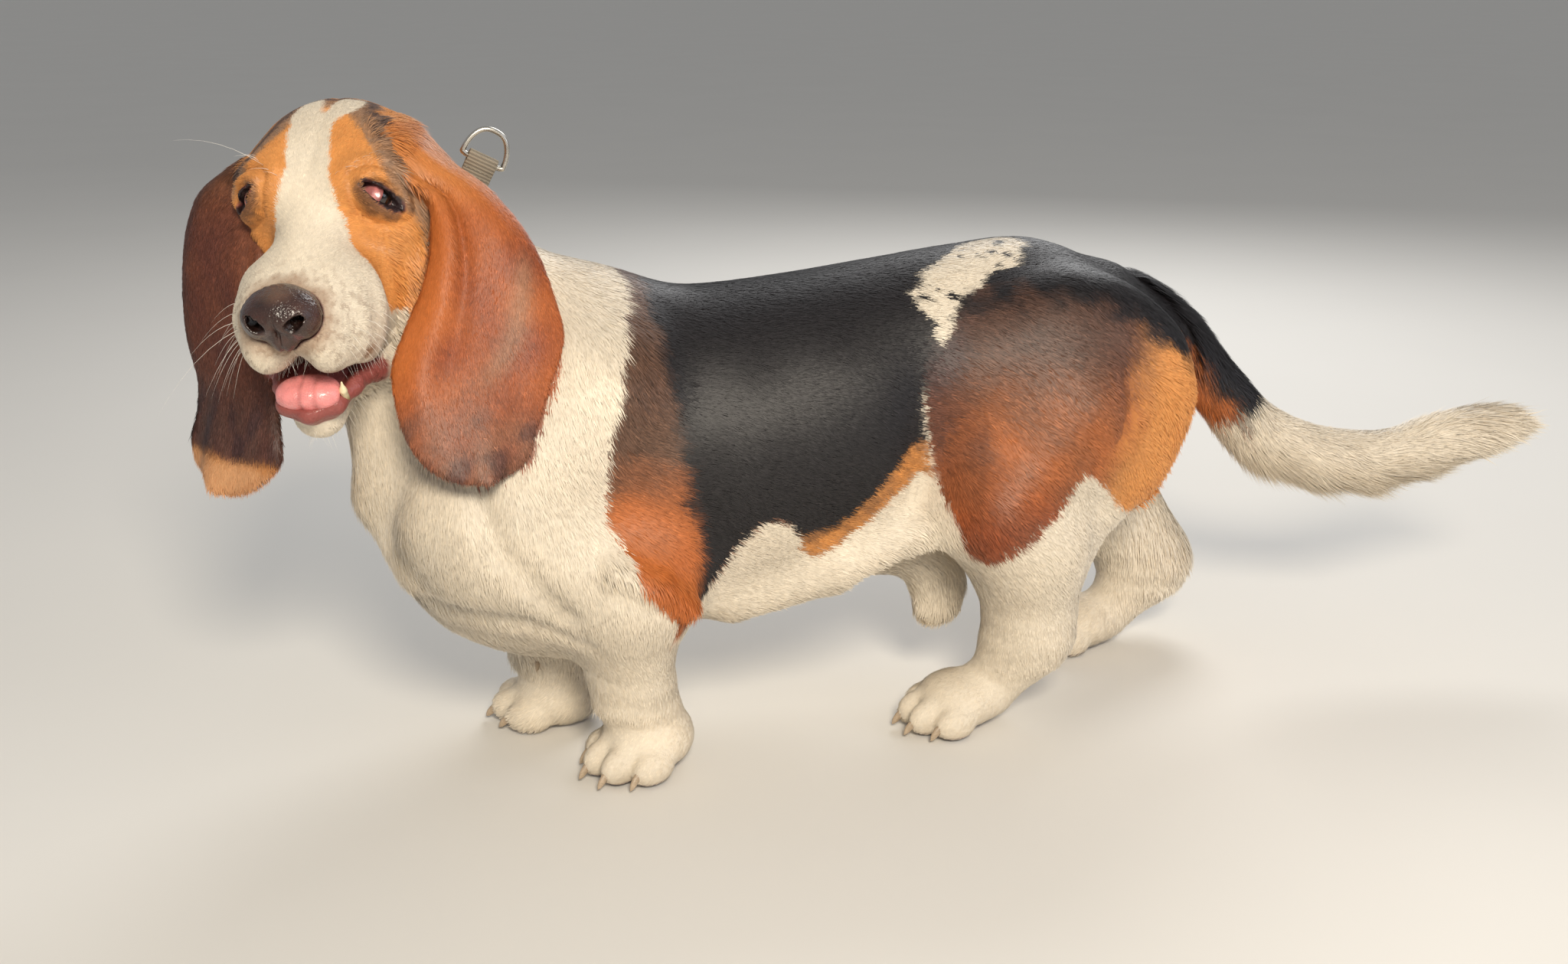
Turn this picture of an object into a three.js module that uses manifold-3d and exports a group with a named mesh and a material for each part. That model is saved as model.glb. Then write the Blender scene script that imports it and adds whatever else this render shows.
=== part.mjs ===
// A basset hound that stands on the floor and turns its head to its left.
//
// Millimetres, +Z up. While it is shaped, the dog has its own frame: the floor point under the
// withers is the origin, +X runs to the tail and +Y to the dog's right side, so it faces -X.
// The flesh is one smooth field, the distance to the coat, blended from eggs and tapered limbs.
// The field is turned into facets piece by piece and parted by thin planes where a person names
// the parts. At the end the whole dog moves so that its origin is at the middle of its footprint.

import * as THREE from 'three';
import { mergeVertices } from 'three/addons/utils/BufferGeometryUtils.js';
import Module from 'manifold-3d';

const wasm = await Module();
wasm.setup();

// Driving sizes of the dog
const WITHERS_HEIGHT = 362;
const BACK_HEIGHT = 352;
const CROUP_HEIGHT = 372;
const CHEST_FRONT = -178;
const EYE_RADIUS = 11;
const EAR_THICKNESS = 9;
const COLLAR_WIDTH = 25;
const COLLAR_THICKNESS = 3;
const GAP = 0.3;
const CLEARANCE = 0.8;

const LEFT = -1;
const RIGHT = 1;

const CREAM = { color: 0xeee3cf, roughness: 0.85 };
const BLACK = { color: 0x2b2422, roughness: 0.7 };
const TAN = { color: 0xb9702f, roughness: 0.8 };
const MAHOGANY = { color: 0x8a4420, roughness: 0.75 };
const NOSE_LEATHER = { color: 0x3a2c2b, roughness: 0.35 };
const TONGUE_PINK = { color: 0xe58a8c, roughness: 0.4 };
const EYE_BROWN = { color: 0x2a1a12, roughness: 0.1 };
const HORN = { color: 0x6a5a4c, roughness: 0.5 };
const WEBBING = { color: 0x8c8478, roughness: 0.9 };
const STEEL = { color: 0xc9c4ba, roughness: 0.3, metalness: 1 };

const vec = (x, y, z) => new THREE.Vector3(x, y, z);
const radians = THREE.MathUtils.degToRad;
const clamp01 = (t) => Math.min(Math.max(t, 0), 1);

// Smooth union and smooth intersection of two distances; k is the width of the fillet
function blend(a, b, k) {
  const h = Math.max(k - Math.abs(a - b), 0) / k;
  return Math.min(a, b) - h * h * k * 0.25;
}

function meet(a, b, k) {
  return -blend(-a, -b, k);
}

function join(parts, k) {
  return (p) => parts.reduce((d, part) => blend(d, part(p), k), 1e3);
}

// Distance to an egg with its own turned axes
function egg(centre, radii, yaw = 0, pitch = 0) {
  const turn = new THREE.Quaternion()
    .setFromEuler(new THREE.Euler(0, radians(pitch), radians(yaw), 'ZYX'))
    .invert();
  const q = vec(0, 0, 0);
  return (p) => {
    q.copy(p).sub(centre).applyQuaternion(turn);
    const nx = q.x / radii[0];
    const ny = q.y / radii[1];
    const nz = q.z / radii[2];
    const reach = Math.hypot(nx, ny, nz);
    const slope = Math.hypot(nx / radii[0], ny / radii[1], nz / radii[2]);
    return slope < 1e-9 ? -Math.min(...radii) : (reach * (reach - 1)) / slope;
  };
}

// Distance to a limb that tapers from one joint to the next
function limb(from, to, r0, r1) {
  const axis = vec(0, 0, 0).subVectors(to, from);
  const length2 = axis.lengthSq();
  const q = vec(0, 0, 0);
  return (p) => {
    q.copy(p).sub(from);
    const t = clamp01(q.dot(axis) / length2);
    return q.addScaledVector(axis, -t).length() - (r0 + (r1 - r0) * t);
  };
}

// A smooth curve through a few stations, rows of [place, value, ...]
function station(rows, place, column) {
  if (place <= rows[0][0]) return rows[0][column];
  const last = rows.length - 1;
  if (place >= rows[last][0]) return rows[last][column];
  let i = 0;
  while (place > rows[i + 1][0]) i += 1;
  const before = rows[Math.max(i - 1, 0)];
  const after = rows[Math.min(i + 2, last)];
  const a = rows[i];
  const b = rows[i + 1];
  const span = b[0] - a[0];
  const t = (place - a[0]) / span;
  const slopeA = ((b[column] - before[column]) / (b[0] - before[0])) * span;
  const slopeB = ((after[column] - a[column]) / (after[0] - a[0])) * span;
  const t2 = t * t;
  const t3 = t2 * t;
  return (2 * t3 - 3 * t2 + 1) * a[column] + (t3 - 2 * t2 + t) * slopeA
    + (3 * t2 - 2 * t3) * b[column] + (t3 - t2) * slopeB;
}

// Trunk: place along the back, top line, bottom line and half width
const TRUNK = [
  [-110, 316, 112, 82],
  [-50, 342, 88, 96],
  [10, BACK_HEIGHT, 86, 103],
  [70, BACK_HEIGHT - 2, 98, 106],
  [130, BACK_HEIGHT + 2, 112, 104],
  [200, BACK_HEIGHT + 10, 132, 96],
  [260, CROUP_HEIGHT - 3, 156, 90],
  [320, CROUP_HEIGHT, 172, 88],
  [370, CROUP_HEIGHT - 16, 186, 84],
  [412, CROUP_HEIGHT - 42, 212, 60],
];

function trunk(p) {
  const top = station(TRUNK, p.x, 1);
  const bottom = station(TRUNK, p.x, 2);
  const width = station(TRUNK, p.x, 3);
  const height = (top - bottom) / 2;
  const ny = p.y / width;
  const nz = (p.z - (top + bottom) / 2) / height;
  const reach = Math.hypot(ny, nz);
  const slope = Math.hypot(ny / width, nz / height);
  const around = slope < 1e-9 ? -width : (reach * (reach - 1)) / slope;
  const ends = Math.max(TRUNK[0][0] - p.x, p.x - TRUNK[TRUNK.length - 1][0]);
  return meet(around, ends, 60);
}

// Rib cage front, keel of the breast bone, and the loose skin over the withers
const chest = join([
  egg(vec(CHEST_FRONT + 86, 0, 206), [86, 93, 102]),
  egg(vec(-50, 0, 150), [92, 66, 70]),
  egg(vec(-22, 0, WITHERS_HEIGHT - 42), [46, 54, 42]),
], 40);

// Neck column and the dewlap below the throat
const NECK_BASE = vec(-66, 4, 272);
const NECK_TOP = vec(-152, 22, 390);
const neck = join([
  limb(NECK_BASE, NECK_TOP, 84, 66),
  limb(vec(-168, 4, 330), vec(-142, 0, 240), 38, 44),
], 40);

// Seat bones, sheath and the skin that carries it
const rump = join([
  egg(vec(396, LEFT * 44, 266), [40, 34, 50]),
  egg(vec(396, RIGHT * 44, 266), [40, 34, 50]),
  egg(vec(254, -6, 94), [27, 17, 36]),
  limb(vec(130, 0, 128), vec(240, -2, 122), 16, 20),
], 26);

// Tail: its joints from the croup to the tip, with the radius at the coat
const TAIL = [
  [vec(388, 0, 318), 34],
  [vec(446, 0, 292), 28],
  [vec(490, -2, 246), 27],
  [vec(528, -6, 206), 28],
  [vec(580, -12, 180), 28],
  [vec(646, -20, 172), 26],
  [vec(700, -27, 184), 23],
  [vec(746, -33, 196), 14],
  [vec(784, -37, 201), 4],
];
const tail = join(TAIL.slice(1).map(([to, r1], i) => limb(TAIL[i][0], to, TAIL[i][1], r1)), 30);

// Fore legs: shoulder point, elbow, wrist, and the paw's place and turn
const FORE = {
  left: {
    side: LEFT,
    shoulder: vec(-104, -60, 200),
    elbow: vec(-10, -80, 150),
    wrist: vec(-6, -58, 62),
    paw: vec(8, -54, 0),
    turn: 28,
  },
  right: {
    side: RIGHT,
    shoulder: vec(-112, 60, 198),
    elbow: vec(-34, 80, 148),
    wrist: vec(-52, 46, 62),
    paw: vec(-42, 38, 0),
    turn: -22,
  },
};

// Hind legs: hip, knee, shin, hock, and the paw's place and turn
const HIND = {
  left: {
    side: LEFT,
    hip: vec(328, -62, 248),
    knee: vec(262, -78, 186),
    shin: vec(296, -72, 150),
    hock: vec(306, -66, 74),
    paw: vec(256, -60, 0),
    turn: 6,
    lean: 12,
  },
  right: {
    side: RIGHT,
    hip: vec(350, 60, 250),
    knee: vec(388, 70, 182),
    shin: vec(416, 68, 148),
    hock: vec(478, 58, 68),
    paw: vec(416, 52, 0),
    turn: -4,
    lean: -6,
  },
};

function foreLeg(leg) {
  const blade = vec(-24, leg.side * 54, 290);
  return join([
    limb(blade, leg.shoulder, 44, 48),
    limb(leg.shoulder, leg.elbow, 47, 42),
    limb(leg.elbow, leg.wrist, 42, 29),
    limb(leg.wrist, vec(leg.paw.x + 6, leg.paw.y, 26), 29, 25),
  ], 22);
}

function hindLeg(leg) {
  const heel = vec(leg.paw.x + 22, leg.paw.y, 26);
  return join([
    egg(leg.hip, [104, 46, 104], 0, leg.lean),
    limb(leg.hip, leg.knee, 60, 46),
    limb(leg.knee, leg.shin, 44, 46),
    limb(leg.shin, leg.hock, 46, 34),
    limb(leg.hock, heel, 33, 24),
  ], 22);
}

// Paws: four toes and a pad, in the paw's own turned frame with the toes towards -X
const TOES = [
  { along: -22, across: -27, size: 0.92 },
  { along: -36, across: -10, size: 1 },
  { along: -36, across: 10, size: 1 },
  { along: -22, across: 27, size: 0.92 },
];

function pawPoint(leg, along, across, height) {
  const turn = radians(leg.turn);
  const x = along * Math.cos(turn) - across * Math.sin(turn);
  const y = along * Math.sin(turn) + across * Math.cos(turn);
  return vec(leg.paw.x + x, leg.paw.y + y, height);
}

function paw(leg) {
  const toes = TOES.map((toe) => egg(
    pawPoint(leg, toe.along * leg.scale, toe.across * leg.scale, 14 * toe.size),
    [21 * leg.scale * toe.size, 12.5 * leg.scale, 16 * toe.size],
    leg.turn,
  ));
  const pad = egg(pawPoint(leg, -6 * leg.scale, 0, 21), [36 * leg.scale, 34 * leg.scale, 24], leg.turn);
  return join([...toes, pad], 7);
}

const LEGS = [
  { name: 'fore', flank: 'left', ...FORE.left, scale: 1 },
  { name: 'fore', flank: 'right', ...FORE.right, scale: 1 },
  { name: 'hind', flank: 'left', ...HIND.left, scale: 0.94 },
  { name: 'hind', flank: 'right', ...HIND.right, scale: 0.94 },
];

// Head frame: the origin lies between the eyes; x runs to the nose, y to the dog's left, z to the crown
const HEAD_PLACE = vec(-198, -37, 421);
const HEAD_YAW = 72;
const HEAD_PITCH = 24;
const HEAD_ROLL = 2;

function headFrame() {
  const yaw = radians(HEAD_YAW);
  const pitch = radians(HEAD_PITCH);
  const roll = radians(HEAD_ROLL);
  const up = vec(0, 0, 1);
  const ahead = vec(-Math.cos(yaw), -Math.sin(yaw), 0);
  const aside = vec(-ahead.y, ahead.x, 0);
  const nose = ahead.clone().multiplyScalar(Math.cos(pitch)).addScaledVector(up, -Math.sin(pitch));
  const crown = ahead.clone().multiplyScalar(Math.sin(pitch)).addScaledVector(up, Math.cos(pitch));
  const left = aside.clone().multiplyScalar(Math.cos(roll)).addScaledVector(crown, Math.sin(roll));
  crown.multiplyScalar(Math.cos(roll)).addScaledVector(aside, -Math.sin(roll));
  return new THREE.Matrix4().makeBasis(nose, left, crown).setPosition(HEAD_PLACE);
}

const HEAD = headFrame();
const HEAD_INVERSE = HEAD.clone().invert();
const pair = (make) => [make(1), make(-1)];

const skull = join([
  egg(vec(-54, 0, -4), [62, 54, 38]),
  ...pair((s) => egg(vec(-12, s * 27, 10), [26, 20, 15])),
  ...pair((s) => egg(vec(-34, s * 36, -28), [44, 24, 34])),
  egg(vec(-40, 0, -58), [52, 42, 40]),
], 20);

const muzzle = join([
  limb(vec(-4, 0, -8), vec(90, 0, -26), 22, 20),
  ...pair((s) => egg(vec(62, s * 19, -38), [52, 21, 32])),
], 12);

const jaw = join([
  limb(vec(-24, 0, -84), vec(89, 0, -98), 32, 18),
  ...pair((s) => egg(vec(24, s * 24, -80), [40, 16, 18])),
], 14);

const noseLeather = join([
  egg(vec(103, 0, -14), [19, 22, 18]),
  ...pair((s) => egg(vec(101, s * 13, -17), [14, 12, 12])),
], 8);

const EYES = { left: vec(-7, 37, -1), right: vec(-7, -37, -1) };
const sockets = join(Object.values(EYES).map((eye) => egg(
  eye.clone().add(vec(12, Math.sign(eye.y) * 5, 0)),
  [14, 13, 8],
)), 1);

function headOnly(q) {
  const whole = blend(skull(q), muzzle(q), 22);
  return meet(whole, -sockets(q), 6);
}

const inHead = vec(0, 0, 0);
const trunkParts = [
  [chest, 40],
  [rump, 30],
  [neck, 46],
  ...LEGS.map((leg) => (leg.name === 'fore' ? [foreLeg(leg), 34] : [hindLeg(leg), 30])),
  [tail, 30],
  ...LEGS.map((leg) => [paw(leg), 12]),
];

// The whole body's field without ears and lower jaw
function flesh(p) {
  const body = trunkParts.reduce((d, [part, k]) => blend(d, part(p), k), trunk(p));
  inHead.copy(p).applyMatrix4(HEAD_INVERSE);
  return blend(body, headOnly(inHead), 30);
}

// Surface nets: one point in each cell that the surface crosses, one quad across each crossed edge
const CORNERS = [0, 1, 2, 3, 4, 5, 6, 7].map((c) => [c & 1, (c >> 1) & 1, c >> 2]);
const CELL_EDGES = CORNERS.flatMap((a, i) => CORNERS.map((b, j) => [i, j, a, b]))
  .filter(([i, j, a, b]) => j > i && a.filter((v, c) => v !== b[c]).length === 1);

function pullToSurface(field, spot, cell) {
  const p = spot.clone();
  const step = vec(0, 0, 0);
  const h = 0.5;
  for (let round = 0; round < 4; round += 1) {
    const d = field(p);
    step.set(
      field(p.clone().setX(p.x + h)) - d,
      field(p.clone().setY(p.y + h)) - d,
      field(p.clone().setZ(p.z + h)) - d,
    ).divideScalar(h);
    const size = Math.max(step.lengthSq(), 0.2);
    p.addScaledVector(step, THREE.MathUtils.clamp(-d / size, -cell / 3, cell / 3));
  }
  return p;
}

function facets(field, low, high, cell) {
  const count = ['x', 'y', 'z'].map((c) => Math.ceil((high[c] - low[c]) / cell[c]) + 1);
  const least = Math.min(cell.x, cell.y, cell.z);
  const at = (i, j, k) => (i * count[1] + j) * count[2] + k;
  const value = new Float64Array(count[0] * count[1] * count[2]);
  const p = vec(0, 0, 0);
  for (let i = 0; i < count[0]; i += 1) {
    for (let j = 0; j < count[1]; j += 1) {
      for (let k = 0; k < count[2]; k += 1) {
        const rim = [i, j, k].some((v, c) => v === 0 || v === count[c] - 1);
        p.set(low.x + i * cell.x, low.y + j * cell.y, low.z + k * cell.z);
        value[at(i, j, k)] = rim ? least : field(p);
      }
    }
  }
  const points = [];
  const pointOf = new Int32Array(value.length).fill(-1);
  for (let i = 0; i < count[0] - 1; i += 1) {
    for (let j = 0; j < count[1] - 1; j += 1) {
      for (let k = 0; k < count[2] - 1; k += 1) {
        const sum = [0, 0, 0];
        let crossed = 0;
        for (const [, , a, b] of CELL_EDGES) {
          const va = value[at(i + a[0], j + a[1], k + a[2])];
          const vb = value[at(i + b[0], j + b[1], k + b[2])];
          if ((va < 0) === (vb < 0)) continue;
          const t = va / (va - vb);
          for (let c = 0; c < 3; c += 1) sum[c] += a[c] + (b[c] - a[c]) * t;
          crossed += 1;
        }
        if (crossed === 0) continue;
        pointOf[at(i, j, k)] = points.length / 3;
        const spot = vec(i, j, k).add(vec(...sum).divideScalar(crossed)).multiply(cell).add(low);
        const rim = [i, j, k].some((v, c) => v === 0 || v === count[c] - 2);
        const point = rim ? spot : pullToSurface(field, spot, least);
        points.push(point.x, point.y, point.z);
      }
    }
  }
  const faces = [];
  const quad = (a, b, c, d, flip) => faces.push(...(flip ? [a, c, b, a, d, c] : [a, b, c, a, c, d]));
  for (let i = 0; i < count[0] - 1; i += 1) {
    for (let j = 0; j < count[1] - 1; j += 1) {
      for (let k = 0; k < count[2] - 1; k += 1) {
        const inside = value[at(i, j, k)] < 0;
        const near = (di, dj, dk) => pointOf[at(i - di, j - dj, k - dk)];
        const crosses = (di, dj, dk) => inside !== (value[at(i + di, j + dj, k + dk)] < 0);
        if (crosses(1, 0, 0)) quad(near(0, 1, 1), near(0, 0, 1), near(0, 0, 0), near(0, 1, 0), !inside);
        if (crosses(0, 1, 0)) quad(near(1, 0, 1), near(1, 0, 0), near(0, 0, 0), near(0, 0, 1), !inside);
        if (crosses(0, 0, 1)) quad(near(1, 1, 0), near(0, 1, 0), near(0, 0, 0), near(1, 0, 0), !inside);
      }
    }
  }
  const geometry = new THREE.BufferGeometry();
  geometry.setAttribute('position', new THREE.Float32BufferAttribute(points, 3));
  geometry.setIndex(faces);
  return geometry;
}

// Solids for joining and cutting
function solid(geometry) {
  const bare = geometry.clone();
  ['normal', 'uv'].forEach((name) => bare.deleteAttribute(name));
  const merged = mergeVertices(bare, 1e-4);
  return new wasm.Manifold(new wasm.Mesh({
    numProp: 3,
    vertProperties: new Float32Array(merged.attributes.position.array),
    triVerts: new Uint32Array(merged.index.array),
  }));
}

function geometryOf(body) {
  const mesh = body.getMesh();
  const geometry = new THREE.BufferGeometry();
  geometry.setAttribute('position', new THREE.BufferAttribute(new Float32Array(mesh.vertProperties), 3));
  geometry.setIndex(new THREE.BufferAttribute(new Uint32Array(mesh.triVerts), 1));
  return geometry;
}

// A block behind a plane; the plane's arrow points out of the block
function behind({ point, arrow }, grow = 0) {
  const size = 2000;
  const block = new THREE.BoxGeometry(size, size, size);
  block.translate(0, 0, -size / 2 + grow);
  block.applyQuaternion(new THREE.Quaternion().setFromUnitVectors(vec(0, 0, 1), arrow.clone().normalize()));
  block.translate(point.x, point.y, point.z);
  return solid(block);
}

const facing = ({ point, arrow }) => ({ point, arrow: arrow.clone().negate() });

// A room of the body: a box cut by planes, and the same room with its walls moved out by the gap
function room(low, high, planes = []) {
  const make = (grow) => {
    const size = high.clone().sub(low).addScalar(2 * grow);
    const middle = high.clone().add(low).multiplyScalar(0.5);
    const box = new THREE.BoxGeometry(size.x, size.y, size.z).translate(middle.x, middle.y, middle.z);
    return planes.reduce((body, plane) => body.intersect(behind(plane, grow)), solid(box));
  };
  return { low, high, inner: make(0), outer: make(GAP) };
}

// Rooms on one side of the dog run out to this distance off its middle
const REACH = 220;

// A room on one side of the dog, from an inner to an outer distance off its middle
function sideRoom(side, x0, x1, inner, z0, z1, planes) {
  const [y0, y1] = side === LEFT ? [-REACH, -inner] : [inner, REACH];
  return room(vec(x0, y0, z0), vec(x1, y1, z1), planes);
}

const without = (body, cutters) => cutters.reduce((rest, cutter) => rest.subtract(cutter), body);

// True when each edge of a body joins two faces
function closesWell(body) {
  const mesh = body.getMesh();
  const names = Array.from({ length: mesh.vertProperties.length / 3 }, (_, i) => (
    Array.from(mesh.vertProperties.slice(3 * i, 3 * i + 3), (v) => v.toFixed(4)).join(' ')
  ));
  const uses = new Map();
  mesh.triVerts.forEach((a, i) => {
    const b = mesh.triVerts[i % 3 === 2 ? i - 2 : i + 1];
    if (names[a] === names[b]) return;
    const edge = [names[a], names[b]].sort().join(' ');
    uses.set(edge, (uses.get(edge) || 0) + 1);
  });
  return [...uses.values()].every((count) => count === 2);
}

// A body cut from facets; the grid of the facets moves a little until the body closes well
function closed(make) {
  for (let shift = 0; shift < 1; shift += 0.11) {
    const body = make(shift);
    if (closesWell(body)) return body;
  }
  throw new Error('no closed body at this facet size');
}

// The flesh inside a room, in facets of one size, less its cutters
function share(here, cell, grow = 0, cutters = []) {
  const low = here.low.clone().sub(cell);
  const high = here.high.clone().add(cell);
  return closed((shift) => {
    const start = low.clone().addScaledVector(cell, -shift);
    const whole = solid(facets((p) => flesh(p) - grow, start, high, cell));
    return largest(without(whole.intersect(here.inner), cutters));
  });
}

// A solid in the head's frame, in facets, moved to its place on the dog, less its cutters
function onHead(field, low, high, cell, cutters = []) {
  return closed((shift) => {
    const start = low.clone().addScaledVector(cell, -shift);
    return largest(without(solid(facets(field, start, high, cell).applyMatrix4(HEAD)), cutters));
  });
}

// The largest piece of a body, without crumbs that a cut leaves
function largest(body) {
  return body.decompose().reduce((best, piece) => (piece.volume() > best.volume() ? piece : best));
}

// Where the body is parted
const WRIST_HEIGHT = 50;
const HEEL_HEIGHT = 44;
const SHIN_HEIGHT = 120;
const SHEATH_TOP = SHIN_HEIGHT - GAP;
const LOIN_START = 152;
const NECK_ARROW = vec(0, 0, 0).subVectors(NECK_TOP, NECK_BASE).normalize();
const NECK_CUT = { point: vec(-92, 8, 306), arrow: NECK_ARROW };
const NAPE_CUT = { point: vec(-165, -9, 396), arrow: vec(-0.66, -0.555, 0.51) };
const UNDER_TAIL = { point: vec(504, 0, 180), arrow: vec(-0.72, 0, -0.69) };
const TAIL_CUTS = [
  { point: vec(470, 0, 280), arrow: vec(0.9, 0, -0.43) },
  { point: vec(540, -8, 200), arrow: vec(0.9, -0.1, -0.42) },
  { point: vec(664, -22, 174), arrow: vec(0.98, -0.12, 0.15) },
];
const elbowCut = (side) => ({ point: vec(0, side * 48, 112), arrow: vec(0, -side * 0.77, 0.64) });
const hipCut = (side) => ({ point: vec(320, side * 50, 235), arrow: vec(0, -side * 0.85, 0.53) });

const LEG_ROOMS = {
  foreleg_left: sideRoom(LEFT, -84, 70, 8, WRIST_HEIGHT, 190, [elbowCut(LEFT)]),
  foreleg_right: sideRoom(RIGHT, -112, 44, 4, WRIST_HEIGHT, 190, [elbowCut(RIGHT)]),
  forepaw_left: sideRoom(LEFT, -100, 70, 4, 0, WRIST_HEIGHT - GAP),
  forepaw_right: sideRoom(RIGHT, -140, 30, -2, 0, WRIST_HEIGHT - GAP),
  thigh_left: sideRoom(LEFT, 212, 460, 24, SHIN_HEIGHT, 400, [hipCut(LEFT)]),
  thigh_right: sideRoom(RIGHT, 240, 520, 12, SHIN_HEIGHT, 400, [hipCut(RIGHT)]),
  shank_left: sideRoom(LEFT, 200, 400, 24, HEEL_HEIGHT, SHIN_HEIGHT - GAP),
  shank_right: sideRoom(RIGHT, 330, 560, 8, HEEL_HEIGHT, SHIN_HEIGHT - GAP),
  hindpaw_left: sideRoom(LEFT, 150, 360, 12, 0, HEEL_HEIGHT - GAP),
  hindpaw_right: sideRoom(RIGHT, 320, 540, 4, 0, HEEL_HEIGHT - GAP),
};
const TAIL_ROOMS = {
  tail_base: room(vec(430, -42, 110), vec(640, 42, 390), [facing(TAIL_CUTS[0]), TAIL_CUTS[1], UNDER_TAIL]),
  tail_middle: room(vec(500, -60, 110), vec(720, 40, 300), [facing(TAIL_CUTS[1]), TAIL_CUTS[2]]),
  tail_tip: room(vec(600, -80, 110), vec(840, 20, 300), [facing(TAIL_CUTS[2])]),
};
const TRUNK_ROOMS = {
  chest: room(vec(-230, -150, 50), vec(LOIN_START - GAP, 150, 400), [NECK_CUT]),
  loin: room(vec(LOIN_START, -150, 50), vec(500, 150, 400)),
};
const SHEATH_ROOM = room(vec(203, -23.6, 40), vec(299, 26, SHEATH_TOP));
const NECK_ROOM = room(vec(-270, -130, 180), vec(60, 140, 470), [facing(NECK_CUT), NAPE_CUT]);

// Facet sizes of the shares
const TRUNK_CELL = vec(54, 34, 34);
const NECK_CELL = vec(29, 29, 29);
const THIGH_CELL = vec(34, 27, 34);
const LEG_CELL = vec(22, 21, 32);
const PAW_CELL = vec(19, 15.5, 17);
const TAIL_CELL = vec(30, 21, 21);
const HEAD_CELL = vec(22, 18, 17);
const JAW_CELL = vec(20, 14, 15);
const SMALL_CELL = vec(10, 10, 9);

const dog = new THREE.Group();

function add(name, body, look) {
  const mesh = new THREE.Mesh(geometryOf(largest(body)), new THREE.MeshStandardMaterial(look));
  mesh.name = name;
  dog.add(mesh);
}

// The trunk gives way to every limb by the gap
const limbRooms = [...Object.values(LEG_ROOMS), ...Object.values(TAIL_ROOMS), SHEATH_ROOM];
const limbWalls = limbRooms.map((here) => here.outer);
add('chest', share(TRUNK_ROOMS.chest, TRUNK_CELL, 0, limbWalls), CREAM);
add('loin', share(TRUNK_ROOMS.loin, TRUNK_CELL, 0, limbWalls), BLACK);

add('sheath', share(SHEATH_ROOM, PAW_CELL), CREAM);

// Collar: a band of webbing that lies round the neck, with its middle in a plane across the neck
const COLLAR = {
  centre: vec(-131, 17.6, 361),
  arrow: vec(-0.7, 0.12, 0.7).normalize(),
  steps: 30,
  widest: 108,
};

// The directions across the neck: one way round the band, starting at the nape's side
function collarWay(step) {
  const turn = (step / COLLAR.steps) * 2 * Math.PI;
  const side = vec(0, 0, 0).crossVectors(COLLAR.arrow, vec(0, 1, 0)).normalize();
  const rise = vec(0, 0, 0).crossVectors(side, COLLAR.arrow);
  return side.multiplyScalar(Math.cos(turn)).addScaledVector(rise, Math.sin(turn));
}

// How far the coat is from the neck's middle, one way round and at one edge of the band
function coatReach(step, across) {
  const start = COLLAR.centre.clone().addScaledVector(COLLAR.arrow, across);
  const way = collarWay(step);
  let near = 30;
  let far = COLLAR.widest;
  for (let round = 0; round < 14; round += 1) {
    const middle = (near + far) / 2;
    if (flesh(start.clone().addScaledVector(way, middle)) < 0) near = middle;
    else far = middle;
  }
  return near;
}

// The band bridges hollows, so each reach is a mean of its neighbours
const collarSteps = Array.from({ length: COLLAR.steps }, (_, step) => step);
const collarReach = [-1, 1].map((edge) => {
  const coat = collarSteps.map((step) => coatReach(step, (edge * COLLAR_WIDTH) / 2));
  const near = (step) => coat[(step + COLLAR.steps) % COLLAR.steps];
  const shares = [1, 2, 3, 2, 1];
  const total = shares.reduce((sum, weight) => sum + weight);
  return collarSteps.map((step) => (
    shares.reduce((sum, weight, i) => sum + weight * near(step + i - 2), 0) / total
  ));
});

function collarBody(grow) {
  const half = COLLAR_WIDTH / 2 + grow;
  const inside = CLEARANCE - grow;
  const outside = CLEARANCE + COLLAR_THICKNESS + grow;
  const corners = [[-1, inside], [1, inside], [1, outside], [-1, outside]];
  const points = [];
  const faces = [];
  for (const step of collarSteps) {
    for (const [edge, lift] of corners) {
      const reach = collarReach[(edge + 1) / 2][step] + lift;
      const point = COLLAR.centre.clone().addScaledVector(COLLAR.arrow, edge * half);
      points.push(...point.addScaledVector(collarWay(step), reach));
    }
    for (let j = 0; j < 4; j += 1) {
      const a = step * 4 + j;
      const b = step * 4 + ((j + 1) % 4);
      const c = ((step + 1) % COLLAR.steps) * 4 + j;
      const d = ((step + 1) % COLLAR.steps) * 4 + ((j + 1) % 4);
      // The outer face folds along its other diagonal, so that it clears the inner one where the band twists
      faces.push(...(j === 2 ? [a, c, d, a, d, b] : [a, c, b, b, c, d]));
    }
  }
  const geometry = new THREE.BufferGeometry();
  geometry.setAttribute('position', new THREE.Float32BufferAttribute(points, 3));
  geometry.setIndex(faces);
  return solid(geometry);
}

const collarZone = collarBody(GAP);
add('collar', collarBody(0), WEBBING);

const neckWall = behind(NECK_CUT, GAP);
const napeWall = behind(facing(NAPE_CUT), GAP);
add('neck', share(NECK_ROOM, NECK_CELL, 0, [neckWall, napeWall, collarZone]), CREAM);

// Claws: a horn cone at the end of each toe, and a dewclaw on the inside of each fore leg
function horn(name, limbName, root, ahead, length, thick) {
  const cone = (grow) => {
    const geometry = new THREE.ConeGeometry(thick + grow, length + 4 * grow, 5).translate(0, length / 2, 0);
    const turn = new THREE.Quaternion().setFromUnitVectors(vec(0, 1, 0), ahead.clone().normalize());
    return solid(geometry.applyQuaternion(turn).translate(root.x, root.y, root.z));
  };
  return { name, limbName, body: cone(0), socket: cone(GAP) };
}

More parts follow.
